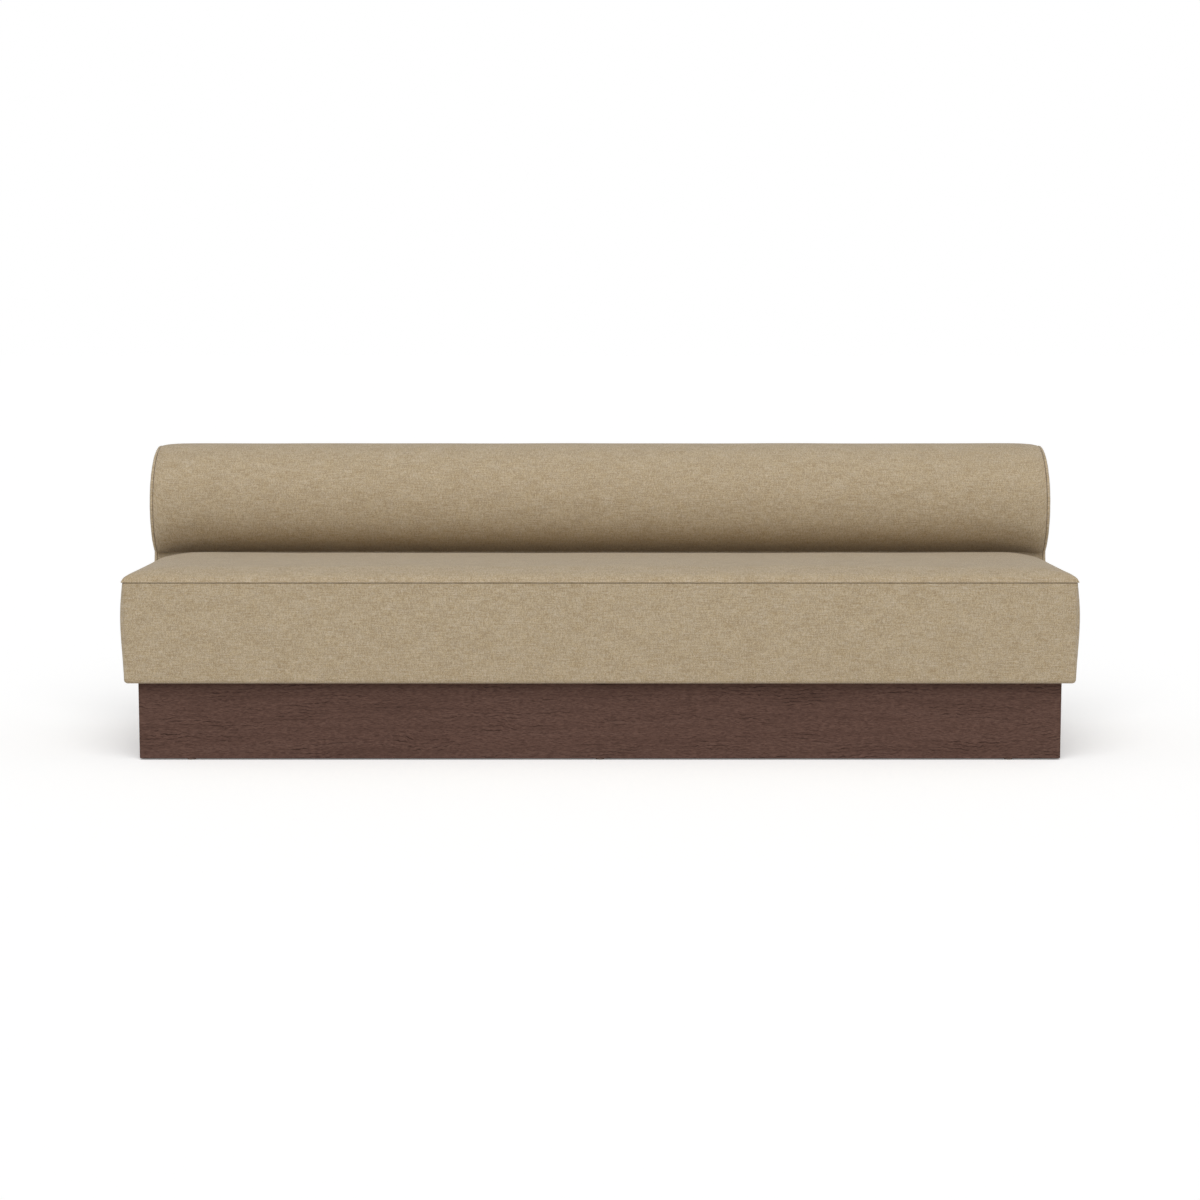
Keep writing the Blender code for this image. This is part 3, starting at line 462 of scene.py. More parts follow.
class NodeBoard:
    """Adds and links shader nodes in one tree."""

    def __init__(self, tree: bpy.types.NodeTree) -> None:
        """Take the tree that the nodes go in."""
        self.tree = tree

    def add(self, kind: str, **settings: object) -> bpy.types.Node:
        """Add a shader node.

        Args:
            kind: its type, without the words ShaderNode.
            settings: its properties.

        Returns:
            The node.
        """
        node = self.tree.nodes.new("ShaderNode" + kind)
        for name, value in settings.items():
            setattr(node, name, value)
        return node

    def feed(self, socket: bpy.types.NodeSocket, value: object) -> None:
        """Link a socket to an input, or set the input to a value.

        Args:
            socket: the input.
            value: the socket or the value.
        """
        if isinstance(value, bpy.types.NodeSocket):
            self.tree.links.new(value, socket)
        else:
            socket.default_value = value

    def maths(self, operation: str, first: object, second: object = 0.0) -> bpy.types.NodeSocket:
        """Add a maths node.

        Args:
            operation: what it does.
            first: its first number or socket.
            second: its second number or socket.

        Returns:
            Its result.
        """
        node = self.add("Math", operation=operation)
        self.feed(node.inputs[0], first)
        self.feed(node.inputs[1], second)
        return node.outputs[0]

    def levels(
        self, value: object, low: float, high: float, to_low: float = 0.0, to_high: float = 1.0
    ) -> bpy.types.NodeSocket:
        """Stretch a value from one range to another, and clamp it there.

        Args:
            value: the value or socket.
            low: the start of its range.
            high: the end of its range.
            to_low: the start of the new range.
            to_high: the end of the new range.

        Returns:
            The stretched value.
        """
        node = self.add("MapRange", clamp=True)
        limits = {"From Min": low, "From Max": high, "To Min": to_low, "To Max": to_high}
        for name, number in limits.items():
            node.inputs[name].default_value = number
        self.feed(node.inputs["Value"], value)
        return node.outputs["Result"]

    def placed(self, vector: object, scale: Sequence[float], turn: float = 0.0) -> bpy.types.NodeSocket:
        """Turn coordinates about Z and scale them.

        Args:
            vector: the coordinates.
            scale: the scale along X, Y and Z, after the turn.
            turn: the angle, in radians.

        Returns:
            The new coordinates.
        """
        turned = self.add("Mapping", vector_type="POINT")
        self.feed(turned.inputs["Vector"], vector)
        turned.inputs["Rotation"].default_value = (0.0, 0.0, turn)
        scaled = self.add("Mapping", vector_type="POINT")
        self.tree.links.new(turned.outputs["Vector"], scaled.inputs["Vector"])
        scaled.inputs["Scale"].default_value = tuple(scale)
        return scaled.outputs["Vector"]

    def noise(
        self, vector: object, scale: Sequence[float], detail: float = 2.0, rough: float = 0.5
    ) -> bpy.types.NodeSocket:
        """Add noise with so many cells to the metre each way.

        Args:
            vector: the coordinates, in metres.
            scale: cells to the metre along X, Y and Z.
            detail: how many finer layers it has.
            rough: how strong they are.

        Returns:
            The noise, about 0.5 on average.
        """
        node = self.add("TexNoise")
        self.feed(node.inputs["Vector"], self.placed(vector, scale))
        node.inputs["Scale"].default_value = 1.0
        node.inputs["Detail"].default_value = detail
        node.inputs["Roughness"].default_value = rough
        return node.outputs["Fac"]

    def blend(
        self, factor: object, first: object, second: object, mode: str = "MIX"
    ) -> bpy.types.NodeSocket:
        """Mix two colours.

        Args:
            factor: how much of the second shows.
            first: the first colour or socket.
            second: the second colour or socket.
            mode: the way of mixing.

        Returns:
            The mixed colour.
        """
        node = self.add("Mix", data_type="RGBA", blend_type=mode, clamp_factor=True)
        self.feed(node.inputs[0], factor)
        self.feed(node.inputs[6], first)
        self.feed(node.inputs[7], second)
        return node.outputs[2]

    def weighed(self, middle: float, *parts: tuple[bpy.types.NodeSocket, float]) -> bpy.types.NodeSocket:
        """Sum values that swing about a half, each by its weight.

        Args:
            middle: the sum where every value is a half.
            parts: the values and their weights.

        Returns:
            The sum.
        """
        total = middle - 0.5 * sum(weight for _, weight in parts)
        for value, weight in parts:
            total = self.maths("ADD", total, self.maths("MULTIPLY", value, weight))
        return total

    def group(self, tree: bpy.types.NodeTree, **values: object) -> bpy.types.Node:
        """Place a node group and feed its inputs.

        Args:
            tree: the group.
            values: what its inputs get, named with underscores for spaces.

        Returns:
            The group's node.
        """
        node = self.add("Group")
        node.node_tree = tree
        for name, value in values.items():
            self.feed(node.inputs[name.replace("_", " ")], value)
        return node


def opaque(colour: Colour) -> tuple[float, float, float, float]:
    """Add full alpha to a colour."""
    return (*colour, 1.0)


def new_group(name: str, inputs: dict[str, str], outputs: dict[str, str]) -> tuple[NodeBoard, dict, dict]:
    """Start a shader node group.

    Args:
        name: the group's name.
        inputs: its inputs, from name to socket type.
        outputs: its outputs, from name to socket type.

    Returns:
        The board to build it on, its input sockets by name and its output sockets by name.
    """
    tree = bpy.data.node_groups.new(name, "ShaderNodeTree")
    for label, kind in inputs.items():
        tree.interface.new_socket(label, in_out="INPUT", socket_type="NodeSocket" + kind)
    for label, kind in outputs.items():
        tree.interface.new_socket(label, in_out="OUTPUT", socket_type="NodeSocket" + kind)
    given = tree.nodes.new("NodeGroupInput")
    wanted = tree.nodes.new("NodeGroupOutput")
    sources = {label: given.outputs[label] for label in inputs}
    targets = {label: wanted.inputs[label] for label in outputs}
    return NodeBoard(tree), sources, targets


def weave_group() -> bpy.types.NodeTree:
    """Make the plain weave: yarns that pass over and under each other.

    Returns:
        A group from Vector in metres, Warp and Weft yarns to the metre, to Height, to Weft on Top, and to
        Tone and Tint that differ from one crossing of yarns to the next.
    """
    board, given, wanted = new_group(
        "plain_weave",
        {"Vector": "Vector", "Warp": "Float", "Weft": "Float"},
        {"Height": "Float", "Weft on Top": "Float", "Tone": "Float", "Tint": "Float"},
    )
    split = board.add("SeparateXYZ")
    board.feed(split.inputs[0], given["Vector"])
    across = board.maths("MULTIPLY", split.outputs[0], given["Warp"])
    along = board.maths("MULTIPLY", split.outputs[1], given["Weft"])
    warp = board.maths("SINE", board.maths("MULTIPLY", across, math.pi))
    weft = board.maths("SINE", board.maths("MULTIPLY", along, math.pi))
    crossing = board.maths("MULTIPLY", warp, weft)
    edge = 0.35
    weft_on_top = board.levels(crossing, -edge, edge)
    warp_on_top = board.levels(crossing, edge, -edge)
    warp_height = board.maths("MULTIPLY", board.maths("ABSOLUTE", warp), warp_on_top)
    weft_height = board.maths("MULTIPLY", board.maths("ABSOLUTE", weft), weft_on_top)
    board.feed(wanted["Height"], board.maths("MAXIMUM", warp_height, weft_height))
    cell = board.add("CombineXYZ")
    board.feed(cell.inputs[0], board.maths("FLOOR", across))
    board.feed(cell.inputs[1], board.maths("FLOOR", along))
    chance = board.add("TexWhiteNoise", noise_dimensions="2D")
    board.feed(chance.inputs["Vector"], cell.outputs[0])
    apart = board.add("SeparateColor")
    board.feed(apart.inputs[0], chance.outputs["Color"])
    board.feed(wanted["Weft on Top"], weft_on_top)
    board.feed(wanted["Tone"], apart.outputs[0])
    board.feed(wanted["Tint"], apart.outputs[1])
    return board.tree


def grain_group() -> bpy.types.NodeTree:
    """Make wood grain that runs along X.

    Returns:
        A group from Vector in metres and Pore Share to Bands, Fibres, Pores and Height, from 0 to 1.
    """
    board, given, wanted = new_group(
        "wood_grain",
        {"Vector": "Vector", "Pore Share": "Float"},
        {"Bands": "Float", "Fibres": "Float", "Pores": "Float", "Height": "Float"},
    )
    sway = board.noise(given["Vector"], (6.0, 9.0, 9.0), 1.0, 0.5)
    ripple = board.noise(given["Vector"], (26.0, 30.0, 30.0), 2.0, 0.6)
    tremble = board.noise(given["Vector"], (120.0, 90.0, 90.0), 1.0, 0.5)
    shift = board.weighed(0.0, (sway, 0.016), (ripple, 0.008), (tremble, 0.002))
    bend = board.add("CombineXYZ")
    board.feed(bend.inputs[1], shift)
    board.feed(bend.inputs[2], shift)
    wavy = board.add("VectorMath", operation="ADD")
    board.feed(wavy.inputs[0], given["Vector"])
    board.feed(wavy.inputs[1], bend.outputs[0])
    path = wavy.outputs[0]
    bands = board.levels(board.noise(path, (3.0, 70.0, 70.0), 3.0, 0.6), 0.30, 0.70)
    fibres = board.levels(board.noise(path, (80.0, 520.0, 520.0), 3.0, 0.65), 0.32, 0.68)
    split = board.add("SeparateXYZ")
    board.feed(split.inputs[0], path)
    across = board.maths("ADD", split.outputs[1], split.outputs[2])
    clusters = board.levels(board.noise(given["Vector"], (7.0, 34.0, 34.0), 2.0, 0.5), 0.47, 0.61)
    dashes = board.levels(board.noise(path, (60.0, 300.0, 300.0), 1.0, 0.5), 0.38, 0.58)
    half_spacing, faded, full = 0.0045, 0.0013, 0.0004
    lines = board.levels(board.maths("PINGPONG", across, half_spacing), faded, full)
    dashed = board.maths("MULTIPLY", dashes, given["Pore Share"])
    pores = board.maths("MULTIPLY", board.maths("MULTIPLY", lines, clusters), dashed)
    height = board.maths("SUBTRACT", board.maths("MULTIPLY", fibres, 0.35), pores)
    for name, value in {"Bands": bands, "Fibres": fibres, "Pores": pores, "Height": height}.items():
        board.feed(wanted[name], value)
    return board.tree


def fibre_group() -> bpy.types.NodeTree:
    """Make a mat of loose fibres or cells, alike in every direction.

    Returns:
        A group from Vector in metres and Fineness in cells to the metre, to Patches and Cells.
    """
    board, given, wanted = new_group(
        "fibre_mat", {"Vector": "Vector", "Fineness": "Float"}, {"Patches": "Float", "Cells": "Float"}
    )
    scaled = board.add("VectorMath", operation="SCALE")
    board.feed(scaled.inputs[0], given["Vector"])
    board.feed(scaled.inputs["Scale"], given["Fineness"])
    cells = board.noise(scaled.outputs[0], (1.0, 1.0, 1.0), 3.0, 0.65)
    patches = board.noise(given["Vector"], (18.0, 18.0, 18.0), 2.0, 0.5)
    board.feed(wanted["Patches"], patches)
    board.feed(wanted["Cells"], board.levels(cells, 0.30, 0.70))
    return board.tree


class Effects:
    """Shared node groups, each made once."""

    def __init__(self) -> None:
        """Build the groups."""
        self.weave = weave_group()
        self.grain = grain_group()
        self.fibres = fibre_group()


@dataclass(frozen=True)
class Finish:
    """A plain finish that other finishes start from.

    Attributes:
        name: the material's name.
        roughness: its roughness.
        metallic: 1 for bare metal.
        specular: strength of its gloss.
        sheen: strength of the light fuzz at grazing angles.
    """

    name: str
    roughness: float = 0.6
    metallic: float = 0.0
    specular: float = 0.5
    sheen: float = 0.0

    def start(self) -> tuple[bpy.types.Material, NodeBoard, bpy.types.Node]:
        """Start the material.

        Returns:
            The material, its board and its shader.
        """
        material = bpy.data.materials.new(self.name)
        material.use_nodes = True
        shader = material.node_tree.nodes["Principled BSDF"]
        shader.inputs["Roughness"].default_value = self.roughness
        shader.inputs["Metallic"].default_value = self.metallic
        shader.inputs["Specular IOR Level"].default_value = self.specular
        shader.inputs["Sheen Weight"].default_value = self.sheen
        return material, NodeBoard(material.node_tree), shader

    @staticmethod
    def emboss(
        board: NodeBoard, shader: bpy.types.Node, height: bpy.types.NodeSocket,
        depth: float, strength: float,
    ) -> None:
        """Feed a height to the shader's normal.

        Args:
            board: the material's board.
            shader: its shader.
            height: the height, from 0 to 1.
            depth: the depth of the relief, in metres.
            strength: how strongly it shows.
        """
        bump = board.add("Bump")
        bump.inputs["Distance"].default_value = depth
        bump.inputs["Strength"].default_value = strength
        board.feed(bump.inputs["Height"], height)
        board.feed(shader.inputs["Normal"], bump.outputs["Normal"])


@dataclass(frozen=True)
class MelangeCloth(Finish):
    """Beige cloth woven from uneven, mixed yarns.

    Attributes:
        dark: colour of its darkest yarns.
        light: colour of its lightest yarns.
        golden: tint of its warmest places.
        dusty: tint of its greyest places.
        warp: warp yarns to the metre.
        weft: weft yarns to the metre.
        sheen_roughness: how far its light fuzz spreads.
        relief: depth of its weave.
    """

    dark: Colour = (0.325, 0.241, 0.141)
    light: Colour = (0.559, 0.463, 0.324)
    golden: Colour = (1.020, 0.985, 0.900)
    dusty: Colour = (0.985, 1.010, 1.090)
    warp: float = 700.0
    weft: float = 720.0
    sheen_roughness: float = 0.4
    relief: float = 0.0004

    def material(self, effects: Effects) -> bpy.types.Material:
        """Make the material, on the cover's own weave map.

        Args:
            effects: the shared node groups.

        Returns:
            The material.
        """
        material, board, shader = self.start()
        cloth = board.add("UVMap", uv_map=WEAVE_MAP).outputs["UV"]
        weave = board.group(effects.weave, Vector=cloth, Warp=self.warp, Weft=self.weft)
        wefts = board.noise(cloth, (28.0, 540.0, 1.0), 1.0, 0.5)
        warps = board.noise(cloth, (540.0, 60.0, 1.0), 1.0, 0.5)
        patches = board.noise(cloth, (13.0, 26.0, 1.0), 2.0, 0.5)
        drifts = board.noise(cloth, (26.0, 40.0, 1.0), 2.0, 0.55)
        crossings = ((weave.outputs["Tone"], 0.85), (weave.outputs["Weft on Top"], 0.10))
        tone = board.weighed(0.5, *crossings, (wefts, 1.05), (warps, 1.00), (patches, 0.36))
        toned = board.blend(tone, opaque(self.dark), opaque(self.light))
        hue = board.weighed(0.5, (weave.outputs["Tint"], 0.9), (wefts, 0.8), (drifts, 0.7))
        tint = board.blend(hue, opaque(self.golden), opaque(self.dusty))
        tinted = board.blend(1.0, toned, tint, "MULTIPLY")
        # Painted shade between the yarns: the colour is darkened down to 0.84 in the low gaps of the weave
        # and raised a little, to 1.04, on the yarn tops as a painted highlight.
        gaps = board.levels(weave.outputs["Height"], 0.05, 0.60, 0.84, 1.04)
        shade_of_gaps = board.add("CombineColor")
        for socket in shade_of_gaps.inputs[:3]:
            board.feed(socket, gaps)
        woven = board.blend(1.0, tinted, shade_of_gaps.outputs[0], "MULTIPLY")
        board.feed(shader.inputs["Base Color"], woven)
        shader.inputs["Sheen Roughness"].default_value = self.sheen_roughness
        self.emboss(board, shader, weave.outputs["Height"], self.relief, 0.55)
        return material


@dataclass(frozen=True)
class Timber(Finish):
    """Planed wood with its grain, bare or stained.

    Attributes:
        colour: the wood's colour.
        early: colour of its lighter bands.
        late: colour of its darker bands.
        pore: colour of its pores.
        pore_share: how much of it the pores take.
        relief: depth of its grain.
    """

    colour: Colour = (0.151, 0.085, 0.065)
    early: Colour = (0.161, 0.093, 0.072)
    late: Colour = (0.064, 0.033, 0.025)
    pore: Colour = (0.034, 0.017, 0.012)
    pore_share: float = 1.0
    relief: float = 0.0004

    def material(self, effects: Effects, way: GrainWay) -> bpy.types.Material:
        """Make the material.

        Args:
            effects: the shared node groups.
            way: the way that the grain runs.

        Returns:
            The material.
        """
        material, board, shader = self.start()
        material.name = f"{self.name}_{way.name.lower()}"
        place = board.placed(board.add("TexCoord").outputs["Object"], (1.0, 1.0, 1.0), way.value)
        grain = board.group(effects.grain, Vector=place, Pore_Share=self.pore_share)
        bands = grain.outputs["Bands"]
        toned = board.blend(board.levels(bands, 0.5, 1.0), opaque(self.colour), opaque(self.early))
        toned = board.blend(board.levels(bands, 0.5, 0.0, 0.0, 0.35), toned, opaque(self.late))
        fibres = grain.outputs["Fibres"]
        toned = board.blend(board.levels(fibres, 0.0, 1.0, 0.05, 0.95), toned, opaque(self.late))
        pored = board.blend(grain.outputs["Pores"], toned, opaque(self.pore))
        board.feed(shader.inputs["Base Color"], pored)
        rough = board.levels(fibres, 0.0, 1.0, self.roughness - 0.06, self.roughness + 0.08)
        board.feed(shader.inputs["Roughness"], rough)
        self.emboss(board, shader, grain.outputs["Height"], self.relief, 0.6)
        return material


@dataclass(frozen=True)
class FibreMat(Finish):
    """Foam, felt, non-woven cloth and moulded or plated surfaces with a fine grain.

    Attributes:
        colour: its colour.
        deep: colour of its hollows.
        fineness: cells to the metre.
        relief: depth of its surface.
    """

    colour: Colour = (0.5, 0.5, 0.5)
    deep: Colour = (0.3, 0.3, 0.3)
    fineness: float = 400.0
    relief: float = 0.0003

    def material(self, effects: Effects) -> bpy.types.Material:
        """Make the material.

        Args:
            effects: the shared node groups.

        Returns:
            The material.
        """
        material, board, shader = self.start()
        place = board.add("TexCoord").outputs["Object"]
        mat = board.group(effects.fibres, Vector=place, Fineness=self.fineness)
        celled = board.blend(mat.outputs["Cells"], opaque(self.deep), opaque(self.colour))
        patched = board.levels(mat.outputs["Patches"], 0.3, 0.7, 0.0, 0.25)
        board.feed(shader.inputs["Base Color"], board.blend(patched, celled, opaque(self.deep)))
        rough = board.levels(mat.outputs["Patches"], 0.3, 0.7, self.roughness - 0.05, self.roughness + 0.05)
        board.feed(shader.inputs["Roughness"], rough)
        self.emboss(board, shader, mat.outputs["Cells"], self.relief, 0.5)
        return material


CLOTH = MelangeCloth("melange_cloth", roughness=0.92, specular=0.20, sheen=0.32)
STAINED_OAK = Timber("stained_oak", roughness=0.60, specular=0.08)
PINE = Timber(
    "planed_pine", roughness=0.62, specular=0.35,
    colour=(0.560, 0.400, 0.230), early=(0.630, 0.470, 0.290), late=(0.440, 0.270, 0.130),
    pore=(0.330, 0.190, 0.090), pore_share=0.40, relief=0.0002,
)
PLYWOOD = Timber(
    "birch_plywood", roughness=0.66, specular=0.35,
    colour=(0.480, 0.350, 0.215), early=(0.540, 0.405, 0.260), late=(0.400, 0.275, 0.155),
    pore=(0.300, 0.200, 0.110), pore_share=0.40, relief=0.0002,
)
FELT = FibreMat(
    "needled_felt", roughness=0.95, specular=0.2, sheen=0.2,
    colour=(0.250, 0.245, 0.238), deep=(0.120, 0.118, 0.115), fineness=900.0,
)
DUST_CLOTH = FibreMat(
    "dust_cloth", roughness=0.90, specular=0.2,
    colour=(0.026, 0.026, 0.027), deep=(0.010, 0.010, 0.011), fineness=1600.0, relief=0.0001,
)
PLATED_STEEL = FibreMat(
    "plated_steel", roughness=0.32, metallic=1.0,
    colour=(0.560, 0.560, 0.570), deep=(0.400, 0.400, 0.415), fineness=700.0, relief=0.00002,
)
NYLON = FibreMat(
    "moulded_nylon", roughness=0.48, specular=0.5,
    colour=(0.190, 0.150, 0.125), deep=(0.140, 0.110, 0.092), fineness=1500.0, relief=0.00004,
)


# Seat


@dataclass
class Seat:
    """The upholstered seat: a crowned top and a boxing, sewn together.

    Attributes:
        half_width: from the middle to an end seam.
        front: y of the front seam.
        rear: y of the seat's rear.
        seam: height of the seam.
        underside: height of the seat's underside.
        crown: rise of the top above the seam.
        front_bulge: swell of the boxing's front.
        side_bulge: swell of the boxing's sides.
        roll_over: how soon the top turns over to its seam.
        corner_fullness: how little the top gives way at its corners.
        corner_radius: radius of the upright corners.
        bottom_radius: radius of the lower edge.
        turn_under: width of the boxing under the frame.
        rear_return: width of the boxing behind the frame.
        bulge_reach: how soon the bulge grows away from a corner.
        side_lift: how high the sides bulge, with 1 in the middle and less above it.
        rear_fullness: how much sooner the top rises from its rear than from its other edges.
        lip: height of the ridge that the top makes over its seam.
        riser: how far the top stands up straight behind that ridge.
        riser_reach: how soon it does.
        crest: how much higher the top is in front of the roll.
        crest_place: y of that crest.
        crest_width: how far the crest spreads to either side.
        tuck: depth of the cloth sewn in at the seam.
        cover: thickness of the cloth.
        stuffing: how the filling blows the covers out.
    """

    half_width: float
    front: float
    rear: float
    seam: float
    underside: float
    crown: float
    front_bulge: float
    side_bulge: float
    roll_over: float = 0.0220
    corner_fullness: float = 3.0
    corner_radius: float = 0.010
    bottom_radius: float = 0.009
    turn_under: float = 0.040
    rear_return: float = 0.045
    bulge_reach: float = 0.018
    side_lift: float = 0.74
    rear_fullness: float = 3.0
    lip: float = 0.0040
    riser: float = 0.0038
    riser_reach: float = 0.0012
    crest: float = 0.0013
    crest_place: float = 0.030
    crest_width: float = 0.055
    tuck: float = 0.0045
    cover: float = 0.0012
    stuffing: Stuffing = field(default_factory=lambda: Stuffing(pressure=4.0, reach=0.0035))

    @classmethod
    def from_frame(cls) -> "Seat":
        """Take the seat's sizes from its nodes.

        Returns:
            The seat.
        """
        panel_low, panel_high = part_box("seat_top_panel")
        boxing_low, boxing_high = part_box("seat_boxing")
        seam = boxing_high.z + COVER_FIT
        return cls(
            half_width=panel_high.x,
            front=panel_low.y,
            rear=panel_high.y,
            seam=seam,
            underside=boxing_low.z,
            crown=panel_high.z - seam,
            front_bulge=panel_low.y - boxing_low.y,
            side_bulge=boxing_high.x - panel_high.x + SIDE_FILL,
        )

    @property
    def middle(self) -> Vector:
        """Point in the middle of the seat."""
        return Vector((0.0, (self.front + self.rear) / 2, (self.underside + self.seam) / 2))

    def edge_distance(self, x: np.ndarray, y: np.ndarray) -> np.ndarray:
        """Distance of points from the top's edges, blended at the corners.

        Args:
            x: places of the points along the sofa.
            y: places of the points across it.

        Returns:
            The distances.
        """
        near = 1e-6
        edges = (self.half_width - np.abs(x), y - self.front, (self.rear - y) * self.rear_fullness)
        total = sum(np.maximum(edge, near) ** -self.corner_fullness for edge in edges)
        return total ** (-1.0 / self.corner_fullness)

    def top_height(self, distance: np.ndarray, y: np.ndarray) -> np.ndarray:
        """Height of the top: a short riser, the roll-over and a rear crest.

        Args:
            distance: distances of its points from its edges.
            y: places of its points across the sofa.

        Returns:
            The heights.
        """
        riser = self.riser * (1.0 - np.exp(-distance / self.riser_reach))
        crest = self.crest * np.exp(-((y - self.crest_place) / self.crest_width) ** 2)
        full = self.crown + crest - self.stuffing.reach - self.lip - self.riser
        return self.seam + self.lip + riser + full * (1.0 - np.exp(-distance / self.roll_over))

    def build_top(self) -> bpy.types.Object:
        """Model the crowned top.

        Returns:
            The finished cover.
        """
        half_depth = (self.rear - self.front) / 2
        columns = graded(self.half_width, first=0.0015, growth=1.22, largest=0.0175)
        rows = graded(half_depth, first=0.0015, growth=1.22, largest=0.0120)
        x, y = np.meshgrid(both_ways(self.half_width, columns), both_ways(half_depth, rows) + self.middle.y)
        points = np.stack([x, y, self.top_height(self.edge_distance(x, y), y)], axis=2)
        places = measured_places(points)
        piece = lay_sheet("seat_top", points, places)
        turn_outwards(piece, self.middle)
        flat = read_points(piece)
        away = self.edge_distance(flat[:, 0], flat[:, 1])
        flat_edge, ease, sewn = 0.008, 0.020, 0.009
        free = 1.0 - np.exp(-np.maximum(away - flat_edge, 0.0) / ease)
        fullness = free * settle(flat[:, 0], flat[:, 1], least=0.55)
        self.stuffing.swell(piece, np.where(away < sewn, 1.0, 0.0), fullness)
        front_or_rear = np.minimum(flat[:, 1] - self.front, self.rear - flat[:, 1])
        at_end = self.half_width - np.abs(flat[:, 0]) < front_or_rear
        sew(piece, np.where(at_end, flat[:, 1], flat[:, 0]), away, depth=0.0009, reach=0.022)
        self.roll_lip(piece, places.reshape(-1, 2))
        finish_cover(piece, self.cover, self.middle)
        return piece

    def roll_lip(self, piece: bpy.types.Object, places: np.ndarray) -> None:
        """Roll the top's edge over its seam and tuck it in.

        Args:
            piece: the top.
            places: where its points lie on the flat cloth.
        """
        profile = (
            (0.0011, self.lip - 0.0012),
            (0.0012, self.lip - 0.0026),
            (0.0007, 0.0007),
            (-0.0010, 0.0003),
            (-self.tuck, 0.0003),
        )
        points = read_points(piece)
        ends = np.sign(points[:, 0]) * (np.abs(points[:, 0]) > self.half_width - NEAR_EDGE)
        fronts = 1.0 * (points[:, 1] > self.rear - NEAR_EDGE) - 1.0 * (points[:, 1] < self.front + NEAR_EDGE)
        for out, rise in profile:
            grown, sources = extrude_rim(piece)
            points = read_points(piece)
            ends = np.concatenate([ends, ends[sources]])
            fronts = np.concatenate([fronts, fronts[sources]])
            wide = self.half_width + out
            deep = np.where(fronts[grown] < 0, self.front - out, self.rear + out)
            x = np.clip(points[sources, 0], -wide, wide)
            y = np.clip(points[sources, 1], self.front - out, self.rear + out)
            points[grown, 0] = np.where(ends[grown] != 0, ends[grown] * wide, x)
            points[grown, 1] = np.where(fronts[grown] != 0, deep, y)
            points[grown, 2] = self.seam + rise
            step = np.linalg.norm(points[grown] - points[sources], axis=1)
            ways = np.stack([ends[grown], fronts[grown]], axis=1)
            places = np.concatenate([places, places[sources] + ways * step[:, None]])
            write_points(piece, points)
        write_places(piece, places)

    def boxing_path(self) -> tuple[np.ndarray, np.ndarray]:
        """Plan of the boxing, from its left rear return round the front to its right rear return.

        Returns:
            Its points, and the outward direction at each.
        """
        radius = self.corner_radius
        wide, front, rear = self.half_width, self.front, self.rear
        side = graded(1.0, first=0.02, growth=1.5, largest=0.05)
        side = np.concatenate([side / 2, 1.0 - side[-2::-1] / 2])
        run = graded(1.0, first=0.006, growth=1.4, largest=0.018)
        run = np.concatenate([run / 2, 1.0 - run[-2::-1] / 2])
        back = np.linspace(0.0, 1.0, 5)
        quarter = math.pi / 2
        inner_x, inner_front, inner_rear = wide - radius, front + radius, rear - radius
        returned = wide - self.rear_return
        # A straight run has its stations, both ends and its outward way.
        # A corner has its first quarter turn and its centre.
        parts = (
            (back, (-returned, rear), (-inner_x, rear), (0.0, 1.0)),
            (1.0, (-inner_x, inner_rear), None, None),
            (side, (-wide, inner_rear), (-wide, inner_front), (-1.0, 0.0)),
            (2.0, (-inner_x, inner_front), None, None),
            (run, (-inner_x, front), (inner_x, front), (0.0, -1.0)),
            (3.0, (inner_x, inner_front), None, None),
            (side, (wide, inner_front), (wide, inner_rear), (1.0, 0.0)),
            (4.0, (inner_x, inner_rear), None, None),
            (back, (inner_x, rear), (returned, rear), (0.0, 1.0)),
        )
        points, outward = [np.empty((0, 2))], [np.empty((0, 2))]
        for stations, first, last, way in parts:
            if last is None:
                ways = arc((0.0, 0.0), 1.0, stations * quarter, (stations + 1.0) * quarter, 6)[1:-1]
                line = np.array(first) + ways * radius
            else:
                line = np.outer(1.0 - stations, first) + np.outer(stations, last)
                ways = np.tile(way, (len(line), 1))
            points.append(line)
            outward.append(ways)
        return np.concatenate(points), np.concatenate(outward)

    def boxing_section(self) -> np.ndarray:
        """Section of the boxing, from its seam down and under.

        Returns:
            One row of inset, height and share of the way down for each point.
        """
        turn_over = 0.0050
        top = self.seam - turn_over
        bottom = self.underside + self.bottom_radius
        rows = [
            (self.tuck, self.seam - 0.0003, 0.0),
            (0.0012, self.seam - 0.0005, 0.0),
            (0.0002, self.seam - 0.0015, 0.0),
        ]
        for share in np.concatenate([[0.0, 0.012, 0.03], np.linspace(0.06, 1.0, 26)]):
            rows.append((0.0, top + (bottom - top) * share, share))
        for angle in np.linspace(0.0, math.pi / 2, 6)[1:]:
            rows.append((
                self.bottom_radius * (1.0 - math.cos(angle)),
                bottom - self.bottom_radius * math.sin(angle),
                0.0,
            ))
        for inset in np.linspace(self.bottom_radius, self.turn_under, 4)[1:]:
            rows.append((inset, self.underside, 0.0))
        return np.array(rows)

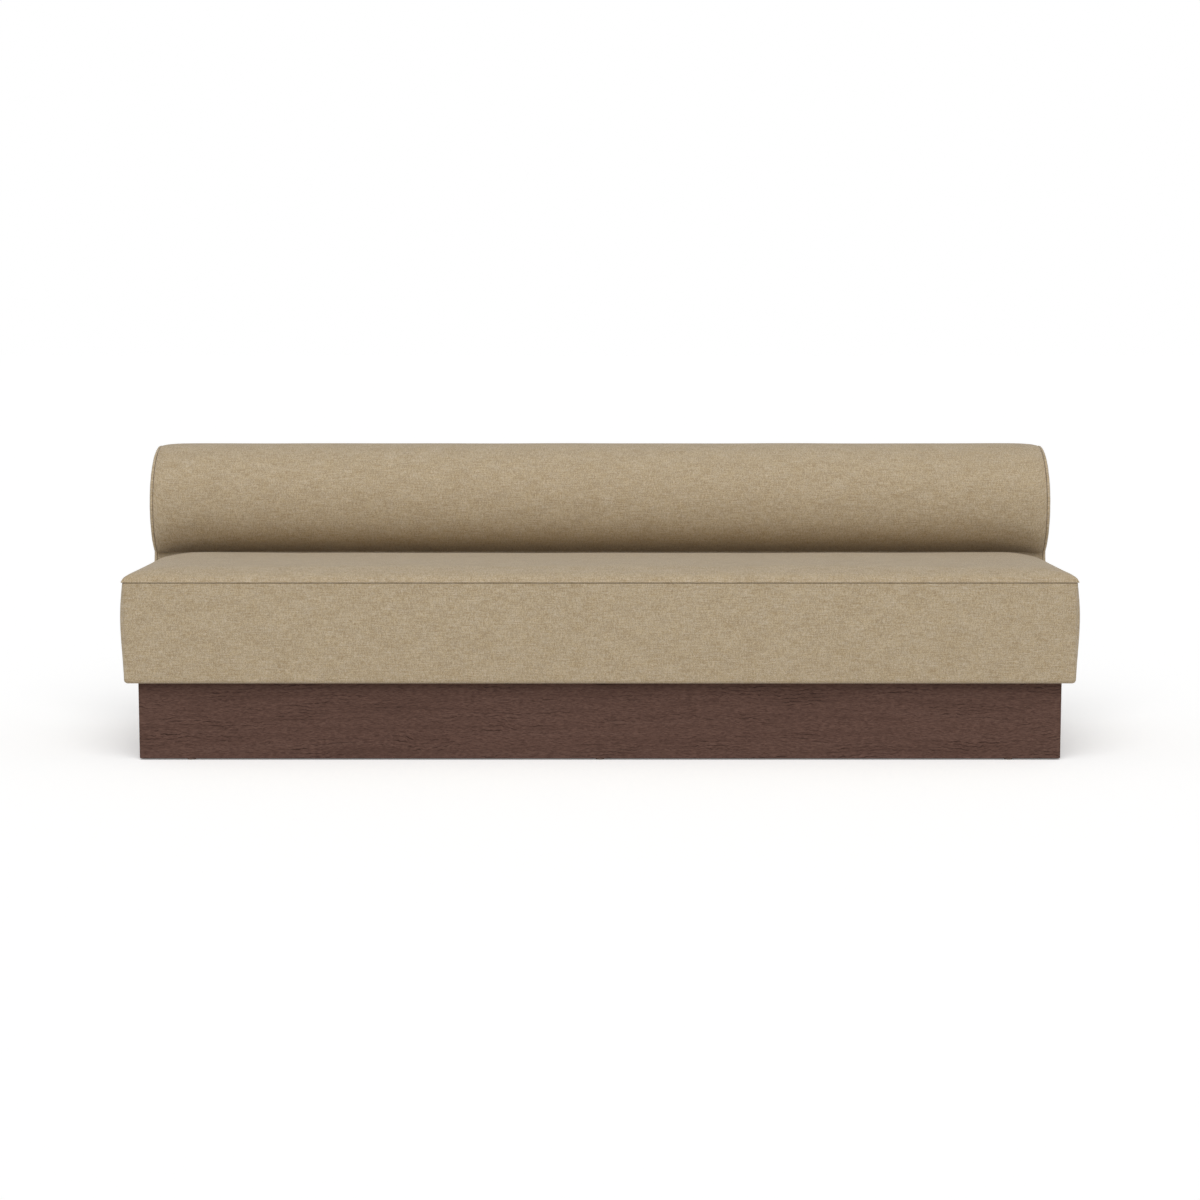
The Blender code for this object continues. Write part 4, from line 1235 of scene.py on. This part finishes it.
    def build_boxing(self) -> bpy.types.Object:
        """Model the boxing.

        Returns:
            The finished cover.
        """
        path, outward = self.boxing_path()
        rows = self.boxing_section()
        corner_x = 1.0 - np.exp(-(self.half_width - np.abs(path[:, 0])) / self.bulge_reach)
        to_corner = np.minimum(path[:, 1] - self.front, self.rear - path[:, 1])
        corner_y = 1.0 - np.exp(-to_corner / self.bulge_reach)
        straight = 0.99
        sideways = np.abs(outward[:, 0]) > straight
        frontways = outward[:, 1] < -straight
        bulge = np.where(sideways, self.side_bulge * corner_y, 0.0)
        bulge = np.where(frontways, self.front_bulge * corner_x, bulge)
        bulge = np.maximum(bulge - 0.5 * self.stuffing.reach * (bulge > 0), 0.0)
        points = np.empty((len(rows), len(path), 3))
        for number, (inset, height, share) in enumerate(rows):
            lifted = math.sin(math.pi * share ** self.side_lift)
            out = bulge * np.where(sideways, lifted, math.sin(math.pi * share)) - inset
            x = path[:, 0] + outward[:, 0] * out
            y = path[:, 1] + outward[:, 1] * out
            if inset > 0.0:
                x = np.clip(x, -self.half_width + inset, self.half_width - inset)
                y = np.clip(y, self.front + inset, self.rear - inset)
            points[number] = np.stack([x, y, np.full(len(path), height)], axis=1)
        along = path_lengths(path)
        down = path_lengths(rows[:, :2])
        places = np.stack(np.meshgrid(along - along[-1] / 2, -down), axis=2)
        piece = lay_sheet("seat_boxing_cover", points, places)
        turn_outwards(piece, self.middle)
        grid_along = np.tile(along, len(rows))
        share = np.repeat(np.sin(math.pi * rows[:, 2]), len(path))
        flat_out = np.tile(np.where(sideways | frontways, 1.0, 0.0), len(rows))
        fullness = share * flat_out * settle(grid_along, np.repeat(down, len(path)), least=0.5)
        sewn, flat_edge, shift = 0.04, 0.004, 0.4
        self.stuffing.swell(piece, np.where(fullness > sewn, 0.0, 1.0), fullness)
        away = np.repeat(np.maximum(self.seam - flat_edge - rows[:, 1], 0.0), len(path))
        sew(piece, grid_along + shift, away, depth=0.0007, reach=0.020)
        finish_cover(piece, self.cover, self.middle)
        return piece

    def dress(self, cloth: bpy.types.Material) -> None:
        """Build both covers and put them in the place of their nodes.

        Args:
            cloth: their material.
        """
        boxed = ("seat_boxing", "seat_front_pad", "seat_left_pad", "seat_right_pad")
        hand_over(self.build_top(), cloth, ("seat_top_panel", "seat_foam"))
        hand_over(self.build_boxing(), cloth, boxed)


# Back


@dataclass
class Back:
    """The rolled back: one wrap of cloth, and a padded panel at each end.

    Attributes:
        half_width: from the middle to an end seam.
        neck: y of the neck under the roll.
        rear: y of the rear face.
        roll_front: y of the roll's foremost line.
        top: height of the roll's top.
        underside: height of the lower edge.
        foot: height where the cover ends behind the seat.
        end_bulge: swell of the end panels beyond their seams.
        roll_radius: radius of the roll.
        under_radius: tighter radius under the roll's front, at its ends and where the seat presses it.
        under_start: angle below the roll's middle where that radius starts, at those places.
        under_end: angle below the roll's middle where that radius gives way to the flat underside.
        crease_depth: how far the cover is pulled in under the roll, behind its neck.
        end_draw: how far the padding is drawn in at the end seams.
        draw_length: how soon that dies out along the roll.
        end_edge: width of the rounded edge of an end panel.
        bottom_radius: radius of the lower rear edge.
        turn_under: width of the cover under the frame.
        tuck: depth of the cloth sewn in at the seams.
        cover: thickness of the cloth.
        stuffing: how the filling blows the covers out.
    """

    half_width: float
    neck: float
    rear: float
    roll_front: float
    top: float
    underside: float
    foot: float
    end_bulge: float
    roll_radius: float = 0.1555
    under_radius: tuple[float, float] = (0.122, 0.085)
    under_start: tuple[float, float] = (math.radians(20.0), math.radians(12.0))
    under_end: float = math.radians(58.0)
    crease_depth: float = 0.024
    end_draw: float = 0.0075
    draw_length: float = 0.022
    end_edge: float = 0.016
    bottom_radius: float = 0.008
    turn_under: float = 0.040
    tuck: float = 0.0024
    cover: float = 0.0012
    stuffing: Stuffing = field(default_factory=lambda: Stuffing(pressure=3.0, reach=0.0020))

    @classmethod
    def from_frame(cls) -> "Back":
        """Take the back's sizes from its nodes.

        Returns:
            The back.
        """
        low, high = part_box("back_cover")
        rail_low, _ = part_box("back_front_rail")
        _, end_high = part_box("back_right_end_panel")
        return cls(
            half_width=high.x + SEAM_OUT,
            neck=rail_low.y - COVER_FIT,
            rear=high.y,
            roll_front=low.y,
            top=high.z + ROLL_LIFT,
            underside=low.z,
            foot=rail_low.z + FOOT_RISE,
            end_bulge=end_high.x - high.x - END_EASE,
        )

    @property
    def roll_centre(self) -> tuple[float, float]:
        """Middle of the roll, as y and z."""
        return self.roll_front + self.roll_radius, self.top - self.roll_radius

    @property
    def middle(self) -> Vector:
        """Point inside the back."""
        return Vector((0.0, *self.roll_centre))

    def wrap(self, draw: float, tuck: float, foot: float) -> np.ndarray:
        """Section of the back: up its neck, round the roll and down the rear.

        Args:
            draw: how far the roll and the rear are drawn in.
            tuck: how far the whole section is drawn in.
            foot: height where the neck starts.

        Returns:
            Closely spaced points as y and z, down to the start of the lower rear edge.
        """
        centre_y, centre_z = self.roll_centre
        neck = self.neck + tuck
        rear = self.rear - draw - tuck
        radius = self.roll_radius - draw - tuck
        rear_radius = rear - centre_y
        shoulder = (centre_y, centre_z + radius - rear_radius)
        press = 1.0 - draw / self.end_draw
        under_radius = float(np.interp(press, (0.0, 1.0), self.under_radius))
        under_start = float(np.interp(press, (0.0, 1.0), self.under_start))
        shift = self.roll_radius - under_radius
        aside = np.array([math.cos(under_start), math.sin(under_start)])
        under = np.array([centre_y, centre_z]) - shift * aside
        corner = arc((0.0, 0.0), 1.0, math.pi + self.under_end, math.pi + under_start, 120)
        corner = under + corner * np.array([under_radius - draw - tuck, under_radius - tuck])
        crease_y = neck + self.crease_depth * (1.0 - (1.0 - press) ** 2.5)
        crease_z = corner[0, 1] - (crease_y - corner[0, 0]) / math.tan(self.under_end)
        rise = np.linspace(0.0, 1.0, NECK_POINTS)
        bends = (0.0, 0.80, 1.0)
        mouth = 0.006
        depth = np.interp(rise, bends, (neck, neck, crease_y))
        height = np.interp(rise, bends, (foot, crease_z - mouth, crease_z))
        turn = math.pi + under_start
        return np.concatenate([
            np.stack([depth, height], axis=1)[:-1],
            np.linspace((crease_y, crease_z), corner[0], 30)[:-1],
            corner[:-1],
            arc((centre_y, centre_z), radius, turn, math.pi / 2, 300)[:-1],
            arc(shoulder, rear_radius, math.pi / 2, 0.0, 200)[:-1],
            np.linspace((rear, shoulder[1]), (rear, self.underside + self.bottom_radius + tuck), 200),
        ])

    def cover_section(self, draw: float, tuck: float) -> np.ndarray:
        """Section of the wrap, with its lower rear edge turned under the frame.

        Args:
            draw: how far the roll and the rear are drawn in.
            tuck: how far the whole section is drawn in.

        Returns:
            Closely spaced points as y and z.
        """
        rear = self.rear - draw - tuck
        bottom = self.underside + tuck
        radius = self.bottom_radius
        return np.concatenate([
            self.wrap(draw, tuck, self.foot)[:-1],
            arc((rear - radius, bottom + radius), radius, 0.0, -math.pi / 2, 20)[:-1],
            np.linspace((rear - radius, bottom), (rear - self.turn_under, bottom), 20),
        ])

    def end_outline(self, tuck: float) -> np.ndarray:
        """Closed outline of an end panel, from its lower front corner up and round.

        Args:
            tuck: how far it is drawn in.

        Returns:
            Closely spaced points as y and z.
        """
        rear = self.rear - self.end_draw - tuck
        bottom = self.underside + tuck
        radius = self.bottom_radius
        neck = self.neck + tuck
        return np.concatenate([
            self.wrap(self.end_draw, tuck, bottom + radius)[:-1],
            arc((rear - radius, bottom + radius), radius, 0.0, -math.pi / 2, 12)[:-1],
            np.linspace((rear - radius, bottom), (neck + radius, bottom), 60)[:-1],
            arc((neck + radius, bottom + radius), radius, -math.pi / 2, -math.pi, 12),
        ])

    def build_wrap(self) -> bpy.types.Object:
        """Model the wrap round the roll.

        Returns:
            The finished cover.
        """
        edge = ((0.0001, self.tuck), (0.0006, 0.0008), (0.0018, 0.0002))
        distances = graded(self.half_width, first=0.0030, growth=1.35, largest=0.0185, start=0.0034)
        xs = both_ways(self.half_width, np.concatenate([[away for away, _ in edge], distances]))
        tucks = np.concatenate([[tuck for _, tuck in edge], np.zeros(len(distances))])
        tucks = np.concatenate([tucks, tucks[-2::-1]])
        lengths = path_lengths(self.cover_section(0.0, 0.0))
        shares = self.wrap_stations(lengths)
        sections = []
        for x, tuck in zip(xs, tucks):
            draw = self.end_draw * math.exp(-(self.half_width - abs(x)) / self.draw_length)
            section = self.cover_section(draw, tuck)
            placed = along_path(section, shares * path_lengths(section)[-1])
            sections.append(np.column_stack([np.full(len(placed), x), placed]))
        points = np.stack(sections, axis=1)
        around = shares * lengths[-1]
        places = np.stack(np.meshgrid(xs, around), axis=2)
        piece = lay_sheet("back_roll_cover", points, places)
        turn_outwards(piece, self.middle)
        x = np.tile(xs, len(around))
        s = np.repeat(around, len(xs))
        away = self.half_width - np.abs(x)
        from_feet = np.minimum(s, lengths[-1] - s)
        full_part = (0.12, 0.19, lengths[-1] - 0.12, lengths[-1] - 0.05)
        roll = np.interp(s, full_part, (0.0, 1.0, 1.0, 0.0))
        flat_edge, ease, sewn, piping = 0.006, 0.030, 0.03, 0.002
        free = roll * (1.0 - np.exp(-np.maximum(away - flat_edge, 0.0) / ease))
        fullness = free * settle(x, s, least=0.45)
        self.stuffing.swell(piece, np.where((fullness < sewn) | (from_feet < sewn), 1.0, 0.0), fullness)
        sew(piece, s, np.maximum(away - piping, 0.0) + (1.0 - roll), depth=0.0009, reach=0.024)
        finish_cover(piece, self.cover, self.middle)
        return piece

    def wrap_stations(self, lengths: np.ndarray) -> np.ndarray:
        """Places of the wrap's points, close together at the crease and the lower edge.

        Args:
            lengths: lengths along its section.

        Returns:
            Shares of its whole length.
        """
        crease = lengths[NECK_POINTS - 1] / lengths[-1]
        under = (lengths[-1] - self.turn_under - self.bottom_radius) / lengths[-1]
        neck = crease * np.array([0.0, 0.35, 0.65, 0.82, 0.92, 0.97])
        roll = crease + (under - crease) * np.concatenate([
            [0.0, 0.003, 0.008, 0.015], np.linspace(0.026, 0.97, 62), [0.985, 0.994],
        ])
        below = under + (1.0 - under) * np.linspace(0.0, 1.0, 10)
        return np.concatenate([neck, roll, below])

    def build_end(self, side: float) -> bpy.types.Object:
        """Model the padded panel at one end.

        Args:
            side: -1 for the left end, 1 for the right end.

        Returns:
            The finished cover.
        """
        outline = self.end_outline(0.0)
        columns, rows = self.patch_stations(40), self.patch_stations(64)
        patch = self.coons_patch(self.outline_sides(outline), columns, rows)
        away = self.outline_distance(patch.reshape(-1, 2), outline).reshape(patch.shape[:2])
        rim = 0.0030
        share = np.clip(away / self.end_edge, 0.0, 1.0)
        swell = rim + (self.end_bulge - 0.5 * self.stuffing.reach - rim) * np.sqrt(1.0 - (1.0 - share) ** 2)
        points = np.dstack([side * (self.half_width + swell), patch])
        name = "back_left_end_cover" if side < 0 else "back_right_end_cover"
        piece = lay_sheet(name, points, patch * np.array([side, 1.0]))
        turn_outwards(piece, self.middle)
        flat = read_points(piece)
        distance = self.outline_distance(flat[:, 1:], outline)
        ease, sewn, shift = 0.025, 0.003, 0.3
        fullness = (1.0 - np.exp(-distance / ease)) * settle(flat[:, 1] + side, flat[:, 2], least=0.6)
        self.stuffing.swell(piece, np.where(distance < sewn, 1.0, 0.0), fullness)
        around = self.outline_place(flat[:, 1:], outline)
        sew(piece, around + shift * side, distance, depth=0.0007, reach=0.018)
        self.tuck_end(piece, side)
        finish_cover(piece, self.cover, self.middle)
        return piece

    def tuck_end(self, piece: bpy.types.Object, side: float) -> None:
        """Roll an end panel's rim round and tuck it in at its seam.

        Args:
            piece: the panel.
            side: -1 for the left end, 1 for the right end.
        """
        outer, inner = self.end_outline(0.0), self.end_outline(self.tuck)
        outer_length, inner_length = path_lengths(outer)[-1], path_lengths(inner)[-1]
        around = self.outline_place(read_points(piece)[:, 1:], outer) / outer_length
        for out, tuck in ((0.0015, 0.0001), (0.0008, 0.0007), (0.0004, self.tuck)):
            grown, sources = extrude_rim(piece)
            points = read_points(piece)
            around = np.concatenate([around, around[sources]])
            sewn = along_path(outer, around[grown] * outer_length)
            tucked = along_path(inner, around[grown] * inner_length)
            blend = tuck / self.tuck
            points[grown, 1:] = sewn * (1.0 - blend) + tucked * blend
            points[grown, 0] = side * (self.half_width + out)
            write_points(piece, points)

    def outline_sides(self, outline: np.ndarray) -> dict[str, np.ndarray]:
        """Split an end outline into the four sides of a patch.

        Args:
            outline: the closed outline.

        Returns:
            Its front, top, rear and bottom, each from low to high coordinate.
        """
        centre_y, centre_z = self.roll_centre
        angles = np.arctan2(outline[:, 1] - centre_z, outline[:, 0] - centre_y)
        corners = (math.radians(132.0), math.radians(48.0))
        front_top, rear_top = (int(np.argmin(np.abs(angles - corner))) for corner in corners)
        bottom = np.nonzero(outline[:, 1] < self.underside + 10.0 * NEAR_EDGE)[0]
        rear_low, front_low = int(bottom[0]), int(bottom[-1])
        return {
            "front": np.concatenate([outline[front_low:], outline[1:front_top + 1]]),
            "top": outline[front_top:rear_top + 1],
            "rear": outline[rear_top:rear_low + 1][::-1],
            "bottom": outline[rear_low:front_low + 1][::-1],
        }

    @staticmethod
    def patch_stations(count: int) -> np.ndarray:
        """Shares from 0 to 1 that crowd towards both ends."""
        crowding = math.pi / 2 * 0.86
        return 0.5 + 0.5 * np.sin(np.linspace(-crowding, crowding, count + 1)) / math.sin(crowding)

    @staticmethod
    def coons_patch(sides: dict[str, np.ndarray], u: np.ndarray, v: np.ndarray) -> np.ndarray:
        """Fill the space between four sides.

        Args:
            sides: the front, top, rear and bottom lines.
            u: shares from front to rear.
            v: shares from bottom to top.

        Returns:
            Points as y and z, v by u by 2.
        """
        bottom = along_path(sides["bottom"], u * path_lengths(sides["bottom"])[-1])
        top = along_path(sides["top"], u * path_lengths(sides["top"])[-1])
        front = along_path(sides["front"], v * path_lengths(sides["front"])[-1])
        rear = along_path(sides["rear"], v * path_lengths(sides["rear"])[-1])
        uu, vv = u[None, :, None], v[:, None, None]
        patch = (1 - vv) * bottom[None] + vv * top[None] + (1 - uu) * front[:, None] + uu * rear[:, None]
        corners = (1 - uu) * (1 - vv) * bottom[0] + uu * (1 - vv) * bottom[-1]
        corners = corners + (1 - uu) * vv * top[0] + uu * vv * top[-1]
        return patch - corners

    @staticmethod
    def outline_distance(points: np.ndarray, outline: np.ndarray) -> np.ndarray:
        """Distance of points from an outline."""
        gaps = np.linalg.norm(points[:, None, :] - outline[None, ::2, :], axis=2)
        return gaps.min(axis=1)

    @staticmethod
    def outline_place(points: np.ndarray, outline: np.ndarray) -> np.ndarray:
        """Length along an outline of the place nearest to each point."""
        gaps = np.linalg.norm(points[:, None, :] - outline[None, :, :], axis=2)
        return path_lengths(outline)[gaps.argmin(axis=1)]

    def dress(self, cloth: bpy.types.Material) -> None:
        """Build the covers and put them in the place of their nodes.

        Args:
            cloth: their material.
        """
        hand_over(self.build_wrap(), cloth, ("back_cover", "back_foam"))
        hand_over(self.build_end(-1.0), cloth, ("back_left_end_panel",))
        hand_over(self.build_end(1.0), cloth, ("back_right_end_panel",))


# Underside


@dataclass
class DustCover:
    """The black cloth stapled under the frame.

    Attributes:
        low: its lowest corner.
        high: its highest corner.
        bays: x of the lines that hold it up, from end to end.
        held_front: y of the plinth's front board, inside.
        held_rear: y of the plinth's rear board, inside.
        sag: how far it hangs in the middle of a bay.
        thickness: its thickness.
        crisp_angle: edges sharper than this stay crisp, in degrees.
    """

    low: Vector
    high: Vector
    bays: tuple[float, ...]
    held_front: float
    held_rear: float
    sag: float = 0.006
    thickness: float = 0.0006
    crisp_angle: float = 40.0

    @classmethod
    def from_frame(cls) -> "DustCover":
        """Take its sizes from the nodes round it.

        Returns:
            The dust cover.
        """
        low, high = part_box("dust_cover")
        first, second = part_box("plinth_brace_1"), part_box("plinth_brace_2")
        left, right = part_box("plinth_left_board"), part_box("plinth_right_board")
        lines = (left[1].x, first[0].x, first[1].x, second[0].x, second[1].x, right[0].x)
        return cls(low, high, lines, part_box("plinth_front_board")[1].y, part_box("plinth_rear_board")[0].y)

    def build(self) -> bpy.types.Object:
        """Model the cloth.

        Returns:
            The finished sheet.
        """
        columns, rows, roundness = 106, 37, 0.8
        xs = np.linspace(self.low.x, self.high.x, columns)
        ys = np.linspace(self.low.y, self.high.y, rows)
        x, y = np.meshgrid(xs, ys)
        depth = np.zeros_like(x)
        across = np.clip((y - self.held_front) / (self.held_rear - self.held_front), 0.0, 1.0)
        for start, end in zip(self.bays[::2], self.bays[1::2]):
            along = np.clip((x - start) / (end - start), 0.0, 1.0)
            depth += self.sag * (np.sin(math.pi * along) * np.sin(math.pi * across)) ** roundness
        points = np.dstack([x, y, self.high.z - depth])
        piece = lay_sheet("dust_cover_sheet", points, np.dstack([x, y]))
        turn_outwards(piece, Vector((0.0, 0.0, 1.0)))
        apply_modifier(piece, "SOLIDIFY", thickness=self.thickness, offset=-1.0)
        shade(piece, self.crisp_angle)
        return piece

    def dress(self, cloth: bpy.types.Material) -> None:
        """Build the sheet and put it in the place of its node."""
        hand_over(self.build(), cloth, ("dust_cover",))


# Rigid pieces


WOODEN_NODES = (
    (STAINED_OAK, GrainWay.ALONG, ("plinth_front_board", "plinth_rear_board")),
    (STAINED_OAK, GrainWay.ACROSS, ("plinth_left_board", "plinth_right_board")),
    (PINE, GrainWay.ALONG, ("seat_front_rail", "seat_rear_rail", "back_front_rail", "plinth_corner_block")),
    (PINE, GrainWay.ACROSS, ("seat_left_rail", "seat_right_rail", "seat_cross_rail")),
    (PLYWOOD, GrainWay.ALONG, ("back_base_board", "back_spine", "back_skin")),
    (PLYWOOD, GrainWay.ACROSS, ("back_rib", "plinth_brace")),
)
OTHER_NODES = (
    (FELT, ("seat_felt",)),
    (PLATED_STEEL, ("seat_spring", "frame_bolt", "seat_front_clip", "seat_rear_clip")),
    (NYLON, ("floor_glide",)),
)


@dataclass
class RigidPieces:
    """The plinth and the frame, which keep their shapes and get their finishes.

    Attributes:
        effects: the shared node groups.
    """

    effects: Effects

    @staticmethod
    def coat(material: bpy.types.Material, starts: tuple[str, ...]) -> None:
        """Give a material to the nodes whose names start in one of the given ways.

        Args:
            material: the material.
            starts: how the names start.
        """
        nodes = [name for name in sorted(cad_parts) if name.startswith(starts)]
        for name in nodes:
            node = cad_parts[name]
            node.data.materials.clear()
            node.data.materials.append(material)
        LOG.info("%s: %d nodes", material.name, len(nodes))

    def dress(self) -> None:
        """Finish every rigid node."""
        for finish, way, starts in WOODEN_NODES:
            self.coat(finish.material(self.effects, way), starts)
        for finish, starts in OTHER_NODES:
            self.coat(finish.material(self.effects), starts)


# Studio


@dataclass
class Studio:
    """Floor, light and camera.

    Attributes:
        floor_size: length of the floor's sides.
        floor_bounce: share of the light that the floor gives back to the sofa.
        floor_seen: how pale the floor looks.
        floor_lift: how much paler it looks than its light makes it.
        sky: strength of the light from all round.
        key_strength: strength of the broad soft light from the front.
        key_height: how high that light stands, in degrees.
        key_spread: how broad it is, in degrees.
        lens: the camera's lens, in millimetres on a 36 mm sensor.
        camera_distance: from the sofa's middle to the camera.
        camera_height: of the camera above the floor.
        camera_pitch: how far the camera looks down, in degrees.
    """

    floor_size: float = 400.0
    floor_bounce: float = 0.88
    floor_seen: float = 1.0
    floor_lift: float = 0.15
    sky: float = 0.36
    key_strength: float = 2.0
    key_height: float = 51.0
    key_spread: float = 60.0
    lens: float = 72.0
    camera_distance: float = 5.828
    camera_height: float = 0.9633
    camera_pitch: float = 6.1

    @staticmethod
    def seen_rays(board: NodeBoard) -> bpy.types.NodeSocket:
        """Tell the rays that show a surface, directly or in a gloss, from those that carry light.

        Args:
            board: the board of the material or the world.

        Returns:
            1 for a ray that shows, and 0 for one that carries light.
        """
        rays = board.add("LightPath")
        shown = board.maths("MAXIMUM", rays.outputs["Is Camera Ray"], rays.outputs["Is Glossy Ray"])
        return board.maths("MAXIMUM", shown, rays.outputs["Is Transmission Ray"])

    def build_floor(self) -> None:
        """Lay a plain pale floor."""
        bpy.ops.object.select_all(action="DESELECT")
        bpy.ops.mesh.primitive_plane_add(size=self.floor_size)
        floor = bpy.context.active_object
        floor.name = "studio_floor"
        material = bpy.data.materials.new("pale_floor")
        material.use_nodes = True
        board = NodeBoard(material.node_tree)
        shader = material.node_tree.nodes["Principled BSDF"]
        bounce, seen = (opaque((level, level, level)) for level in (self.floor_bounce, self.floor_seen))
        shown = self.seen_rays(board)
        board.feed(shader.inputs["Base Color"], board.blend(shown, bounce, seen))
        shader.inputs["Emission Color"].default_value = WHITE
        board.feed(shader.inputs["Emission Strength"], board.maths("MULTIPLY", shown, self.floor_lift))
        shader.inputs["Roughness"].default_value = 1.0
        shader.inputs["Specular IOR Level"].default_value = 0.0
        floor.data.materials.append(material)

    def build_light(self) -> None:
        """Surround the sofa with soft light, with a white background for the camera."""
        world = bpy.data.worlds.new("studio")
        bpy.context.scene.world = world
        world.use_nodes = True
        board = NodeBoard(world.node_tree)
        around = world.node_tree.nodes["Background"]
        around.inputs["Strength"].default_value = self.sky
        around.inputs["Color"].default_value = WHITE
        backdrop = board.add("Background")
        backdrop.inputs["Color"].default_value = WHITE
        mixed = board.add("MixShader")
        board.feed(mixed.inputs[0], self.seen_rays(board))
        board.feed(mixed.inputs[1], around.outputs[0])
        board.feed(mixed.inputs[2], backdrop.outputs[0])
        board.feed(world.node_tree.nodes["World Output"].inputs["Surface"], mixed.outputs[0])
        lamp = bpy.data.lights.new("soft_key", "SUN")
        lamp.angle = math.radians(self.key_spread)
        lamp.energy = self.key_strength
        holder = bpy.data.objects.new("soft_key", lamp)
        holder.rotation_euler = (math.radians(90.0 - self.key_height), 0.0, 0.0)
        bpy.context.scene.collection.objects.link(holder)

    def build_camera(self) -> None:
        """Set up the camera."""
        camera = bpy.data.cameras.new("camera")
        camera.lens = self.lens
        camera.sensor_width = 36.0
        camera.clip_end = self.floor_size / 2
        holder = bpy.data.objects.new("camera", camera)
        holder.location = (0.0, -self.camera_distance, self.camera_height)
        holder.rotation_euler = (math.radians(90.0 - self.camera_pitch), 0.0, 0.0)
        bpy.context.scene.collection.objects.link(holder)
        bpy.context.scene.camera = holder

    def build(self) -> None:
        """Set the whole studio up."""
        self.build_floor()
        self.build_light()
        self.build_camera()
        bpy.context.scene.view_settings.view_transform = "Standard"


def main() -> None:
    """Dress the sofa and set up the studio."""
    logging.basicConfig(level=logging.INFO, format="%(name)s: %(message)s")
    effects = Effects()
    cloth = CLOTH.material(effects)
    RigidPieces(effects).dress()
    Seat.from_frame().dress(cloth)
    Back.from_frame().dress(cloth)
    DustCover.from_frame().dress(DUST_CLOTH.material(effects))
    Studio().build()


if __name__ == "__main__":
    main()
